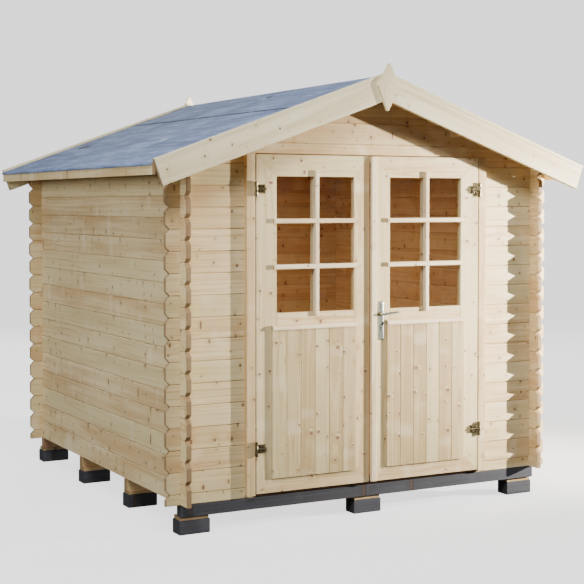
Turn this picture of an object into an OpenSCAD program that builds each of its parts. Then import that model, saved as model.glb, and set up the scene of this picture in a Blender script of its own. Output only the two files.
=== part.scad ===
// Garden house of interlocking planks, with a gable roof and a double door.
// X runs to the right, Y to the back, Z up. The origin is on the ground,
// at the middle of the plan.

/* [Walls] */
// Width over the outer faces of the side walls
wall_w = 2270; // [1900:10:3000]
// Depth over the outer faces of the front and rear walls
wall_d = 2320; // [1600:10:3000]
// Height that one plank covers
course_h = 114; // [95:1:140]
// Number of planks in a side wall
side_courses = 16; // [15:1:18]
// Thickness of the wall planks
wall_t = 28; // [19:1:45]
// Length of the plank ends past each corner
crossing_l = 80; // [50:1:120]
// Cut at the corners of each plank end
end_chamfer = 24; // [5:1:28]
// Depth of the groove where two planks meet
groove_d = 3; // [1:0.5:5]
// Play in the corner joints and round the roof beams
joint_play = 0.4; // [0.2:0.1:0.8]

/* [Foundation] */
// Height of the beams under the walls
beam_h = 64; // [40:1:120]
// Depth of the beams from front to back
beam_d = 50; // [40:1:120]
// Thickness of the packing boards under the beams
packing_h = 21; // [10:1:40]
// Height of the blocks on the ground
block_h = 75; // [40:1:200]
// Length of a block along its beam
block_w = 175; // [100:5:400]
// Depth of a block from front to back
block_d = 92; // [60:1:200]
// How far the front blocks stand back from the front beam's face
block_setback = 15; // [0:1:30]
// How far a rear block reaches in under the rear beam
block_reach = 32; // [25:1:60]
// Margin of a packing board inside its block
packing_margin = 6; // [0:1:20]
// Number of beams between the front and rear beams
bearer_count = 2; // [1:1:4]
// Thickness of the floor boards
floor_t = 19; // [16:1:28]
// Play between the floor and the walls
floor_play = 3; // [1:1:10]

/* [Roof] */
// Slope of the roof in degrees
roof_pitch = 19.8; // [12:0.1:30]
// From the front wall to the face of the front bargeboards
front_overhang = 185; // [120:1:400]
// From the rear wall to the face of the rear bargeboards
rear_overhang = 138; // [120:1:400]
// From a side wall to the lower end of the roof
side_overhang = 217; // [120:1:400]
// Thickness of the roof boards
roof_board_t = 18; // [15:1:28]
// Thickness of the roofing felt
felt_t = 3; // [2:0.5:6]
// How far the felt hangs over the fascia boards
felt_drip = 8; // [0:1:30]
// Width of the felt strip over the ridge on each slope
ridge_felt_w = 170; // [80:5:300]
// Width of the ridge beam and the purlins
purlin_w = 45; // [35:1:80]
// Height of the ridge beam
ridge_beam_h = 120; // [80:1:200]
// Height of the purlins
purlin_h = 90; // [60:1:160]
// Distance of the purlins from the middle of the house
purlin_x = 560; // [400:5:800]
// Width of the bargeboards
barge_w = 143; // [90:1:200]
// Thickness of the bargeboards
barge_t = 24; // [15:1:30]
// How far the bargeboards rise above the felt
barge_rise = 14; // [0:1:40]
// Gap where two bargeboards meet at the ridge
barge_gap = 0.6; // [0.4:0.1:2]
// Height of the fascia boards
fascia_h = 60; // [40:1:120]
// Thickness of the fascia boards
fascia_t = 18; // [15:1:28]
// Half of the finial's width
finial_half_w = 67; // [40:1:100]
// Height of the finial's upper half
finial_up = 127; // [60:1:180]
// Height of the finial's lower half
finial_down = 131; // [60:1:180]
// How far the finial's widest point lies below the bargeboards' peak
finial_drop = 80; // [40:1:120]
// Thickness of the finials
finial_t = 18; // [12:1:28]
// Width of the finials' blunt tips
finial_tip = 10; // [4:1:20]

/* [Door frame] */
// Width over the hinge edges of the two leaves
door_w = 1423; // [1200:1:1600]
// Visible width of a door post
post_w = 50; // [40:1:80]
// How far the posts stand out from the wall on both sides
post_proud = 30; // [20:1:45]
// Depth of the groove that takes the wall planks
post_groove = 15; // [8:1:20]
// Height of the cut under the outer half of a post
post_lift = 12; // [0:1:20]
// Play between a leaf and its post
leaf_side_gap = 6; // [5:0.5:10]
// Play between a leaf and the plank over it
leaf_top_gap = 7; // [6:0.5:15]
// Height of the leaves above the beam
leaf_lift = 22; // [10:1:40]
// Gap between the two leaves
meeting_gap = 7; // [7:0.5:12]
// How far the gap between the leaves lies left of the middle
meeting_offset = 16.5; // [0:0.5:40]
// How far the stops reach in behind the leaves
stop_w = 16; // [10:1:30]
// Play between the leaves and their stops
stop_gap = 6; // [5.5:0.5:10]
// Height of the threshold, and of the head behind the leaves
threshold_h = 42; // [35:1:60]

/* [Leaves] */
// Thickness of the leaf frames
leaf_t = 34; // [30:1:50]
// Width of the stile beside the hinges
hinge_stile_w = 120; // [80:1:140]
// Distance from the middle of the house to the panes
pane_in = 115.5; // [90:0.5:160]
// Height of the pane
pane_h = 725; // [400:5:900]
// Height of the top rail
top_rail_h = 116; // [80:1:150]
// Height of the lock rail under the pane
lock_rail_h = 120; // [90:1:160]
// Height of the bottom rail
bottom_rail_h = 110; // [90:1:160]
// Thickness of the pane
pane_t = 4; // [3:1:6]
// How deep the pane sits in the groove of the leaf's frame
pane_lap = 8; // [5:1:12]
// Play round the pane in its groove
pane_play = 0.3; // [0.2:0.1:0.5]
// How much wider than the pane the boarded panel is, on each side
panel_lap = 21; // [10:1:40]
// Thickness of the boarded panel
panel_t = 15; // [10:1:20]
// Height of the panel's lower edge above the leaf's
panel_lift = 76; // [50:1:100]
// Distance of the panel's upper edge below the pane
panel_drop = 88; // [60:1:110]
// Number of boards in a panel
panel_boards = 6; // [4:1:8]
// Height of the moulding over the panel
moulding_h = 24; // [15:1:30]
// How far the moulding stands out from the leaf
moulding_t = 24; // [16:1:30]
// Height of the moulding's upright front
moulding_front = 13; // [8:1:14]
// Width of the moulding's flat top
moulding_top = 2; // [1:1:6]
// Width of the strip that covers the gap between the leaves
strip_w = 36; // [25:1:50]
// Thickness of the strip
strip_t = 18; // [12:1:25]
// Play where the stiles and rails meet
frame_play = 0.2; // [0.1:0.1:0.5]

/* [Hinges] */
// Radius of a hinge barrel
barrel_r = 8; // [6:0.5:10]
// Height of a hinge barrel
barrel_h = 82; // [60:1:110]
// Height of the part of the barrel that turns with the leaf
knuckle_h = 33; // [20:1:40]
// Distance of the hinge axis from the leaf's face
axis_out = 11; // [10:0.5:16]
// Distance of the hinge axis from the leaf's edge
axis_side = 4.5; // [3:0.5:6]
// Radius of the hinge pin
hinge_pin_r = 4; // [3:0.5:5]
// Running play round a pin
pin_play = 0.05; // [0.03:0.01:0.1]
// Cut at the ends of a barrel
barrel_cut = 2.5; // [1:0.5:4]
// Gap between the turning and the fixed parts of a barrel
knuckle_gap = 0.5; // [0.3:0.1:1]
// Width of the bracket on the leaf
bracket_w = 42; // [30:1:60]
// Height of the bracket on the leaf
bracket_h = 46; // [36:1:60]
// Thickness of the bracket
bracket_t = 5; // [4.5:0.5:8]
// Radius of the bracket's corners
bracket_r = 6; // [2:1:12]
// Distance of the bracket from the barrel
bracket_gap = 6; // [3:1:12]
// Radius of the arm between the barrel and the bracket
arm_r = 7; // [6:0.5:9]
// How far the arm reaches past the bracket
arm_past = 4; // [0:1:10]
// Height of the upper hinge's middle below the leaf's top
hinge_drop = 182; // [120:1:300]
// Height of the lower hinge's middle above the leaf's foot
hinge_lift = 240; // [120:1:300]

/* [Handle] */
// Width of the handle plate
plate_w = 38; // [30:1:50]
// Height of the handle plate
plate_h = 212; // [160:1:260]
// Thickness of the handle plate
plate_t = 8; // [5:1:12]
// Thickness of the plate's rim
rim_t = 4; // [2:0.5:4.5]
// Width of the plate's rim
rim_w = 3; // [1:0.5:4]
// Radius of the plate's corners
plate_r = 5; // [4.5:0.5:12]
// Distance of the plate's middle from the leaf's meeting edge
plate_x = 66; // [60:1:90]
// Height of the handle's axis above the wall's foot
handle_z = 948; // [800:1:1100]
// Height of the handle's axis above the plate's middle
handle_rise = 36; // [20:1:70]
// Depth of the keyhole's middle below the handle's axis
keyhole_drop = 76; // [60:1:90]
// Radius of the handle's neck
neck_r = 9; // [7:0.5:11]
// Play round the neck in the plate
neck_play = 0.2; // [0.1:0.05:0.3]
// Distance from the plate to the lever's outer side
neck_l = 36; // [36:1:50]
// Radius of the bend between the neck and the lever
bend_r = 13; // [11:1:18]
// Length of the lever from its axis
lever_l = 104; // [80:1:130]
// Radius of the lever at the bend
lever_r = 7; // [5:0.5:8.5]
// Radius of the lever at its tip
lever_tip_r = 4; // [3:0.5:5]
// Angle by which the lever rises
lever_rise = 5; // [0:1:12]
// Width and height of the keyhole's slot
key_slot = [4, 18]; // [3:1:20]
// Radius of the keyhole's round part
key_r = 5; // [3:0.5:7]

/* [Hidden] */
$fn = 48;

// A little more than nothing, for cuts that must run past a face
past = 1;

half_w = wall_w / 2;
wall_h = side_courses * course_h;
base_z = beam_h + packing_h + block_h;
front_reach = front_overhang + finial_t;
rear_reach = rear_overhang + finial_t;
front_y = (front_reach - rear_reach - wall_d) / 2;

slope = tan(roof_pitch);
upright = 1 / cos(roof_pitch);
half_roof = half_w + side_overhang;
boards_top = roof_board_t * upright;
felt_top = boards_top + felt_t * upright;
barge_top = felt_top + barge_rise * upright;
roof_front = barge_t - front_overhang;
roof_back = wall_d + rear_overhang - barge_t;

post_in = door_w / 2 + leaf_side_gap;
post_out = post_in + post_w;
wall_end = post_out - post_groove;
leaf_front = -post_proud;
leaf_back = leaf_front + leaf_t;
stop_y = leaf_back + stop_gap;
frame_back = wall_t + post_proud;
leaf_top = wall_h - leaf_top_gap;
left_meet = -meeting_offset - meeting_gap / 2;
right_meet = -meeting_offset + meeting_gap / 2;
pane_out = door_w / 2 - hinge_stile_w;
pane_w = pane_out - pane_in;
panel_w = pane_w + 2 * panel_lap;
pane_top = leaf_top - top_rail_h;
pane_bottom = pane_top - pane_h;
panel_bottom = leaf_lift + panel_lift;
panel_top = pane_bottom - panel_drop;

hinge_x = door_w / 2 + axis_side;
hinge_y = leaf_front - axis_out;
hinge_levels = [leaf_lift + hinge_lift, leaf_top - hinge_drop];
handle_x = right_meet + plate_x;
plate_z = handle_z - handle_rise;
bearer_step = (wall_d - beam_d) / (bearer_count + 1);
bearer_ys = [for (k = [1 : bearer_count]) k * bearer_step];

wood = [0.87, 0.80, 0.66];
old_wood = [0.62, 0.45, 0.28];
dark_wood = [0.31, 0.31, 0.33];
felt_blue = [0.53, 0.58, 0.67];
zinc = [0.62, 0.55, 0.36];
steel = [0.72, 0.74, 0.74];
clear = [0.75, 0.80, 0.80, 0.4];

// Height of the roof boards' underside at a distance x from the ridge
function under_z(x) = wall_h + (half_w - wall_t / 2 - abs(x)) * slope;

// Levels of the joints between planks, from a first level up to a top
function joints(first, top) =
    [for (z = [first : course_h : top - groove_d]) z];

// From the middle of the front wall's foot to the part's own origin
module house() {
    translate([0, front_y, base_z]) children();
}

// A shape drawn in X and Z, from y0 back to y1
module across(y0, y1) {
    translate([0, y1, 0]) rotate([90, 0, 0]) linear_extrude(y1 - y0)
        children();
}

// A board from one corner to the opposite one
module block(low, high) {
    translate(low) cube(high - low);
}

// A flat shape with round corners, about its middle
module rounded(width, height, r) {
    square([width - 2 * r, height], center = true);
    square([width, height - 2 * r], center = true);
    for (x = [-1, 1], y = [-1, 1])
        translate([x * (width / 2 - r), y * (height / 2 - r)])
            circle(r);
}

// Everything under the roof boards
module under_roof() {
    far = half_w + crossing_l + past;
    across(-crossing_l - past, wall_d + crossing_l + past)
        polygon([[-far, -past], [far, -past], [far, under_z(far)],
            [0, under_z(0)], [-far, under_z(far)]]);
}

// A wall of planks along X, with a groove at each joint on both faces
module planks(length, z0, z1, levels) {
    outer = [for (z = levels, s = [-1, 0, 1])
        [s == 0 ? groove_d : 0, z + s * groove_d]];
    inner = [for (i = [len(outer) - 1 : -1 : 0])
        [wall_t - outer[i][0], outer[i][1]]];
    rotate([90, 0, 90]) linear_extrude(length)
        polygon(concat([[0, z0]], outer, [[0, z1], [wall_t, z1]], inner,
            [[wall_t, z0]]));
}

// The cuts that leave each plank end with its corners taken off
module end_cuts(x, levels) {
    side = end_chamfer * sqrt(2);
    for (z = levels)
        translate([x, wall_t / 2, z]) rotate([0, 45, 0])
            cube([side, wall_t + 2 * past, side], center = true);
}

// The notches at a corner that let the planks of the other wall through
module crossing_cuts(x, first) {
    for (z = [first : course_h : wall_h + course_h])
        translate([x - joint_play, -past, z - course_h / 4 - joint_play / 2])
            cube([wall_t + 2 * joint_play, wall_t + 2 * past,
                course_h / 2 + joint_play]);
}

// A front or rear wall, whose lowest plank is half a plank high
module half_start_wall(x0, x1) {
    levels = joints(course_h / 2, wall_h);
    intersection() {
        difference() {
            translate([x0, 0, 0]) planks(x1 - x0, 0, wall_h, levels);
            if (x0 < -half_w) {
                end_cuts(x0, levels);
                crossing_cuts(-half_w, course_h / 2);
            }
            if (x1 > half_w) {
                end_cuts(x1, levels);
                crossing_cuts(half_w - wall_t, course_h / 2);
            }
        }
        under_roof();
    }
}

// A side wall, whose lowest plank is a full one
module side_wall(side) {
    levels = joints(course_h, wall_h);
    low = -crossing_l;
    high = wall_d + crossing_l;
    x = side < 0 ? -half_w + wall_t : half_w;
    intersection() {
        translate([x, 0, 0]) rotate([0, 0, 90]) difference() {
            translate([low, 0, 0])
                planks(high - low, 0, wall_h + wall_t * slope, levels);
            end_cuts(low, levels);
            end_cuts(high, levels);
            crossing_cuts(0, 0);
            crossing_cuts(wall_d - wall_t, 0);
        }
        under_roof();
    }
}

// The triangle of planks over a front or rear wall
module gable() {
    first = (side_courses + 0.5) * course_h;
    intersection() {
        difference() {
            translate([-half_w, 0, 0])
                planks(wall_w, wall_h, under_z(0), joints(first, under_z(0)));
            beam_cut(0, ridge_beam_h, under_z(0));
            for (s = [-1, 1])
                beam_cut(s * purlin_x, purlin_h, under_z(purlin_x));
        }
        under_roof();
    }
}

module beam_cut(x, height, top) {
    block([x - purlin_w / 2 - joint_play, -past, top - height],
        [x + purlin_w / 2 + joint_play, wall_t + past, top + course_h]);
}

module foundation_blocks() color(dark_wood) house()
    at_supports() block([-block_w / 2, 0, -base_z],
        [block_w / 2, block_d, block_h - base_z]);

module packing_boards() color(wood) house()
    at_supports()
        block([-block_w / 2 + packing_margin, packing_margin,
            block_h - base_z],
            [block_w / 2 - packing_margin, block_d - packing_margin, -beam_h]);

// Three supports under every beam
module at_supports() {
    end_x = half_w - block_w / 2;
    middles = [for (y = bearer_ys) y + (beam_d - block_d) / 2];
    ys = concat([block_setback], middles, [wall_d - block_reach]);
    for (x = [-end_x, 0, end_x], y = ys)
        translate([x, y, 0]) children();
}

module beam(y) {
    block([-half_w, y, -beam_h], [half_w, y + beam_d, 0]);
}

module front_beam() color(dark_wood) house() beam(0);

module rear_beam() color(old_wood) house() beam(wall_d - beam_d);

module floor_bearers() color(wood) house()
    for (y = bearer_ys) beam(y);

module floor_boards() color(wood) house()
    block([-half_w + wall_t + floor_play, frame_back + floor_play, 0],
        [half_w - wall_t - floor_play, wall_d - wall_t - floor_play,
            floor_t]);

module left_wall() color(wood) house() side_wall(-1);

module right_wall() color(wood) house() side_wall(1);

module rear_wall() color(wood) house() translate([0, wall_d - wall_t, 0])
    half_start_wall(-half_w - crossing_l, half_w + crossing_l);

module rear_gable() color(wood) house()
    translate([0, wall_d - wall_t, 0]) gable();

module front_wall_left() color(wood) house()
    half_start_wall(-half_w - crossing_l, -wall_end);

module front_wall_right() color(wood) house()
    half_start_wall(wall_end, half_w + crossing_l);

module front_gable() color(wood) house() gable();

module ridge_beam() color(wood) house()
    across(roof_front, roof_back) {
        x = purlin_w / 2;
        foot = under_z(0) - ridge_beam_h;
        polygon([[-x, foot], [x, foot], [x, under_z(x)], [0, under_z(0)],
            [-x, under_z(x)]]);
    }

module purlins() color(wood) house()
    across(roof_front, roof_back) for (s = [-1, 1]) {
        x0 = s * (purlin_x - purlin_w / 2);
        x1 = s * (purlin_x + purlin_w / 2);
        foot = under_z(purlin_x) - purlin_h;
        polygon([[x0, foot], [x1, foot], [x1, under_z(x1)],
            [x0, under_z(x0)]]);
    }

// One slope of a layer on the roof, from the ridge down to x
module slope_layer(side, x, low, high) {
    polygon([[0, under_z(0) + low], [side * x, under_z(x) + low],
        [side * x, under_z(x) + high], [0, under_z(0) + high]]);
}

module roof_boards(side) color(wood) house()
    across(roof_front, roof_back)
        slope_layer(side, half_roof - fascia_t, 0, boards_top);

module roof_boards_left() roof_boards(-1);

module roof_boards_right() roof_boards(1);

module roof_felt(side) color(felt_blue) house()
    across(roof_front, roof_back)
        slope_layer(side, half_roof + felt_drip, boards_top, felt_top);

module roof_felt_left() roof_felt(-1);

module roof_felt_right() roof_felt(1);

module ridge_felt() color(felt_blue) house()
    across(roof_front, roof_back) {
        low = felt_top;
        high = felt_top + felt_t * upright;
        x = ridge_felt_w * cos(roof_pitch);
        polygon([[-x, under_z(x) + low], [0, under_z(0) + low],
            [x, under_z(x) + low], [x, under_z(x) + high],
            [0, under_z(0) + high], [-x, under_z(x) + high]]);
    }

module fascia_boards() color(wood) house()
    across(roof_front, roof_back) for (s = [-1, 1]) {
        x0 = half_roof - fascia_t;
        top = under_z(half_roof) + boards_top;
        polygon([[s * x0, under_z(x0) + boards_top], [s * half_roof, top],
            [s * half_roof, top - fascia_h], [s * x0, top - fascia_h]]);
    }

// The outline of one bargeboard, cut square at its lower end
module bargeboard(side) {
    tip_z = under_z(half_roof) + barge_top;
    peak = under_z(0) + barge_top;
    x = barge_gap / 2;
    polygon([[side * half_roof, tip_z],
        [side * (half_roof - barge_w * sin(roof_pitch)),
            tip_z - barge_w * cos(roof_pitch)],
        [side * x, peak - x * slope - barge_w * upright],
        [side * x, peak - x * slope]]);
}

module front_bargeboards() color(wood) house()
    across(-front_overhang, roof_front)
        for (s = [-1, 1]) bargeboard(s);

module rear_bargeboards() color(wood) house()
    across(roof_back, wall_d + rear_overhang)
        for (s = [-1, 1]) bargeboard(s);

module finial_outline() {
    z = under_z(0) + barge_top - finial_drop;
    tip = finial_tip / 2;
    polygon([[-finial_half_w, z], [-tip, z - finial_down],
        [tip, z - finial_down], [finial_half_w, z], [tip, z + finial_up],
        [-tip, z + finial_up]]);
}

module finials() color(wood) house() {
    across(-front_reach, -front_overhang) finial_outline();
    across(wall_d + rear_overhang, wall_d + rear_reach) finial_outline();
}

module door_post(side) color(wood) house() mirror([side < 0 ? 1 : 0, 0, 0])
    difference() {
        block([post_in, leaf_front, 0], [post_out, frame_back, wall_h]);
        block([wall_end - joint_play, -joint_play, -past],
            [post_out + past, wall_t + joint_play, wall_h + past]);
        block([post_in - past, leaf_front - past, -past],
            [post_out + past, 0, post_lift]);
    }

module door_post_left() door_post(-1);

module door_post_right() door_post(1);

module door_stops() color(wood) house() for (s = [-1, 1])
    mirror([s < 0 ? 1 : 0, 0, 0])
        block([post_in - stop_w, stop_y, threshold_h],
            [post_in, frame_back, wall_h - threshold_h]);

module door_head() color(wood) house()
    block([-post_in, stop_y, wall_h - threshold_h],
        [post_in, frame_back, wall_h]);

module door_threshold() color(old_wood) house()
    block([-post_in, stop_y, 0], [post_in, frame_back, threshold_h]);

// Each hinge of one leaf, drawn as the right one's, on its axis
module at_hinges(side) {
    mirror([side < 0 ? 1 : 0, 0, 0]) for (z = hinge_levels)
        translate([hinge_x, hinge_y, z]) children();
}

// The fixed parts of the barrels, with their pins
module hinge_barrels() color(zinc) house() for (s = [-1, 1])
    at_hinges(s) {
        low = knuckle_h / 2 + knuckle_gap;
        cut_z = barrel_h / 2 - barrel_cut;
        for (m = [0, 1]) mirror([0, 0, m]) {
            translate([0, 0, low]) cylinder(h = cut_z - low,
                r = barrel_r);
            translate([0, 0, cut_z]) cylinder(h = barrel_cut,
                r1 = barrel_r, r2 = barrel_r - barrel_cut);
            block([post_in - hinge_x, 0, low],
                [barrel_r, axis_out, cut_z]);
        }
        cylinder(h = 2 * cut_z, r = hinge_pin_r, center = true);
    }

// The turning parts, each with an arm and a bracket on the leaf
module leaf_hinges(side) color(zinc) house() at_hinges(side) {
    start = barrel_r + bracket_gap;
    difference() {
        union() {
            cylinder(h = knuckle_h, r = barrel_r, center = true);
            rotate([0, -90, 0])
                cylinder(h = start + bracket_w + arm_past, r = arm_r);
        }
        cylinder(h = knuckle_h + 2 * past, r = hinge_pin_r + pin_play,
            center = true);
    }
    across(axis_out - bracket_t, axis_out)
        translate([-start - bracket_w / 2, 0])
            rounded(bracket_w, bracket_h, bracket_r);
}

module left_leaf_hinges() leaf_hinges(-1);

module right_leaf_hinges() leaf_hinges(1);

// Where a leaf meets the other along X, as the right leaf lies
function leaf_end(side) = side < 0 ? -left_meet : right_meet;

// The pane's own space, or with some play the groove that holds it
module pane_space(play) {
    y = (leaf_front + leaf_back - pane_t) / 2;
    lap = pane_lap + play;
    block([pane_in - lap, y - play, pane_bottom - lap],
        [pane_out + lap, y + pane_t + play, pane_top + lap]);
}

// A stile from x0 to x1, mitred at both ends towards the rails
module stile(x0, x1, inner_first) {
    low = leaf_lift;
    high = leaf_top;
    foot = low + bottom_rail_h;
    head = pane_top;
    points = inner_first
        ? [[x0, foot], [x1, low], [x1, high], [x0, head]]
        : [[x0, low], [x1, foot], [x1, head], [x0, high]];
    across(leaf_front, leaf_back) polygon(points);
}

module leaf_stiles(side) color(wood) house()
    mirror([side < 0 ? 1 : 0, 0, 0]) difference() {
        union() {
            stile(leaf_end(side), pane_in, false);
            stile(pane_out, door_w / 2, true);
        }
        pane_space(pane_play);
    }

module leaf_rails(side) color(wood) house()
    mirror([side < 0 ? 1 : 0, 0, 0]) difference() {
        across(leaf_front, leaf_back) {
            p = frame_play;
            x0 = leaf_end(side);
            x1 = door_w / 2;
            polygon([[x0 + 2 * p, leaf_top], [pane_in + p, pane_top],
                [pane_out - p, pane_top], [x1 - 2 * p, leaf_top]]);
            polygon([[x0 + 2 * p, leaf_lift],
                [pane_in + p, leaf_lift + bottom_rail_h],
                [pane_out - p, leaf_lift + bottom_rail_h],
                [x1 - 2 * p, leaf_lift]]);
            translate([pane_in + p, pane_bottom - lock_rail_h])
                square([pane_w - 2 * p, lock_rail_h]);
        }
        pane_space(pane_play);
    }

module leaf_panel(side) color(wood) house()
    mirror([side < 0 ? 1 : 0, 0, 0]) {
        x0 = (leaf_end(side) + door_w / 2 - panel_w) / 2;
        board = panel_w / panel_boards;
        difference() {
            block([x0, leaf_front - panel_t, panel_bottom],
                [x0 + panel_w, leaf_front, panel_top]);
            for (k = [1 : panel_boards - 1])
                translate([x0 + k * board, leaf_front - panel_t,
                    panel_bottom - past])
                    rotate([0, 0, 45])
                        translate([-groove_d / 2, -groove_d / 2, 0])
                            cube([groove_d, groove_d,
                                panel_top - panel_bottom + 2 * past]);
        }
    }

// The moulding throws water off over the panel's top edge
module leaf_moulding(side) color(wood) house()
    mirror([side < 0 ? 1 : 0, 0, 0])
        translate([(leaf_end(side) + door_w / 2 - panel_w) / 2, leaf_front,
            panel_top])
            rotate([90, 0, 90]) linear_extrude(panel_w)
                polygon([[0, 0], [-moulding_t, 0],
                    [-moulding_t, moulding_front], [-moulding_top, moulding_h],
                    [0, moulding_h]]);

module leaf_glass(side) color(clear) house()
    mirror([side < 0 ? 1 : 0, 0, 0]) pane_space(0);

module left_leaf_stiles() leaf_stiles(-1);

module left_leaf_rails() leaf_rails(-1);

module left_leaf_panel() leaf_panel(-1);

module left_leaf_moulding() leaf_moulding(-1);

module left_leaf_glass() leaf_glass(-1);

module right_leaf_stiles() leaf_stiles(1);

module right_leaf_rails() leaf_rails(1);

module right_leaf_panel() leaf_panel(1);

module right_leaf_moulding() leaf_moulding(1);

module right_leaf_glass() leaf_glass(1);

module cover_strip() color(wood) house()
    block([right_meet, leaf_front - strip_t, leaf_lift],
        [right_meet + strip_w, leaf_front, leaf_top]);

module handle_plate() color(steel) house()
    difference() {
        union() {
            across(leaf_front - rim_t, leaf_front)
                translate([handle_x, plate_z])
                    rounded(plate_w, plate_h, plate_r);
            across(leaf_front - plate_t, leaf_front - rim_t)
                translate([handle_x, plate_z])
                    rounded(plate_w - 2 * rim_w, plate_h - 2 * rim_w,
                        plate_r - rim_w);
        }
        across(leaf_front - plate_t - past, leaf_front + past) {
            translate([handle_x, handle_z]) circle(neck_r);
            translate([handle_x, handle_z - keyhole_drop]) {
                circle(key_r);
                translate([0, -key_slot[1] / 2])
                    square(key_slot, center = true);
            }
        }
    }

module door_handle() color(steel) house()
    translate([handle_x, leaf_front, handle_z])
        rotate([0, -lever_rise, 0]) {
            lever_y = -plate_t - neck_l + lever_r;
            bend_y = lever_y + bend_r;
            rotate([90, 0, 0]) translate([0, 0, neck_play])
                cylinder(h = -bend_y - neck_play, r = neck_r - neck_play);
            translate([bend_r, bend_y, 0]) rotate([0, 0, 180])
                rotate_extrude(angle = 90) translate([bend_r, 0])
                    circle(lever_r);
            translate([bend_r, lever_y, 0]) rotate([0, 90, 0]) {
                cylinder(h = lever_l - bend_r - lever_tip_r, r1 = lever_r,
                    r2 = lever_tip_r);
                translate([0, 0, lever_l - bend_r - lever_tip_r])
                    sphere(lever_tip_r);
            }
        }

foundation_blocks();
packing_boards();
front_beam();
rear_beam();
floor_bearers();
floor_boards();
left_wall();
right_wall();
rear_wall();
rear_gable();
front_wall_left();
front_wall_right();
front_gable();
ridge_beam();
purlins();
roof_boards_left();
roof_boards_right();
roof_felt_left();
roof_felt_right();
ridge_felt();
fascia_boards();
front_bargeboards();
rear_bargeboards();
finials();
door_post_left();
door_post_right();
door_stops();
door_head();
door_threshold();
hinge_barrels();
left_leaf_stiles();
left_leaf_rails();
left_leaf_panel();
left_leaf_moulding();
left_leaf_glass();
left_leaf_hinges();
right_leaf_stiles();
right_leaf_rails();
right_leaf_panel();
right_leaf_moulding();
right_leaf_glass();
right_leaf_hinges();
cover_strip();
handle_plate();
door_handle();
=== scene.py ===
import math
import random

import bmesh
import bpy
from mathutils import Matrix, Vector, noise


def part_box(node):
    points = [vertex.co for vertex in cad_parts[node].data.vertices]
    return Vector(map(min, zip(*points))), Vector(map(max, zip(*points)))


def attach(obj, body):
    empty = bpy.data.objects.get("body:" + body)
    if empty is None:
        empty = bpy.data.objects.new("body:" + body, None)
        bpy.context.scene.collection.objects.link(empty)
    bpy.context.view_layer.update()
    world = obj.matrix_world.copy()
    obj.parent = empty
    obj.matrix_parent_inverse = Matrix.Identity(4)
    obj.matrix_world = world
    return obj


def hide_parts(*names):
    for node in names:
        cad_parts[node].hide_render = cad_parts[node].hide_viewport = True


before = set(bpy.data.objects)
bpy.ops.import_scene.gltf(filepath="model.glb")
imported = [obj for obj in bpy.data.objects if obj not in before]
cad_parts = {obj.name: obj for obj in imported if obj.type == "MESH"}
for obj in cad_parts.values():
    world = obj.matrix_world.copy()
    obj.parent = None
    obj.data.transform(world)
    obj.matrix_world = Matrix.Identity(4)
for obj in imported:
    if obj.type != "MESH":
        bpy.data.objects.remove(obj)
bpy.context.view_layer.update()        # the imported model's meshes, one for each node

print("frame loaded")


# places that every piece is set out from

ex, ey, ez = Vector((1, 0, 0)), Vector((0, 1, 0)), Vector((0, 0, 1))


def span(node, axis):
    low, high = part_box(node)
    return low[axis], high[axis]


frontY = span("front_gable", 1)[0]            # outer face of the front wall
backY = span("rear_gable", 1)[1]              # outer face of the rear wall
leftX, leftInX = span("left_wall", 0)
rightX = span("right_wall", 0)[1]
footZ = span("left_wall", 2)[0]               # foot of the walls
wallT = leftInX - leftX
crossing = frontY - span("left_wall", 1)[0]   # plank ends past a corner
roofFrontY, roofBackY = span("ridge_beam", 1)
ridgeZ = span("ridge_beam", 2)[1]             # underside of the boards at the ridge
boardsUp = span("roof_boards_left", 2)[1] - ridgeZ  # the boards' thickness, upright
boardsEndX = -span("roof_boards_left", 0)[0]
eaveX = -span("fascia_boards", 0)[0]
slope = (ridgeZ - span("roof_boards_left", 2)[0]) / boardsEndX
rise = math.sqrt(1 + slope * slope)           # length along the slope for each metre across
postInX, postOutX = span("door_post_right", 0)
postFrontY, postBackY = span("door_post_right", 1)
doorHeadZ = span("door_post_right", 2)[1]     # top of the door opening
wallEndX = span("front_wall_right", 0)[0]     # where the planks end inside a post
leafFrontY = span("right_leaf_stiles", 1)[0]


def underZ(x):
    # height of the roof boards' underside
    return ridgeZ - abs(x) * slope


# node trees, written as plain expressions

class Wire:
    # one socket of a tree, so that maths is written as an expression

    def __init__(self, sheet, socket):
        self.sheet = sheet
        self.socket = socket

    def part(self, index):
        return Wire(self.sheet, self.socket.node.outputs[index])

    def __add__(self, other):
        return self.sheet.maths("ADD", self, other)

    def __sub__(self, other):
        return self.sheet.maths("SUBTRACT", self, other)

    def __mul__(self, other):
        return self.sheet.maths("MULTIPLY", self, other)

    def __truediv__(self, other):
        return self.sheet.maths("DIVIDE", self, other)

    def __pow__(self, other):
        return self.sheet.maths("POWER", self, other)

    def __rsub__(self, other):
        return self.sheet.maths("SUBTRACT", other, self)

    def __rtruediv__(self, other):
        return self.sheet.maths("DIVIDE", other, self)

    __radd__ = __add__
    __rmul__ = __mul__


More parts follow.
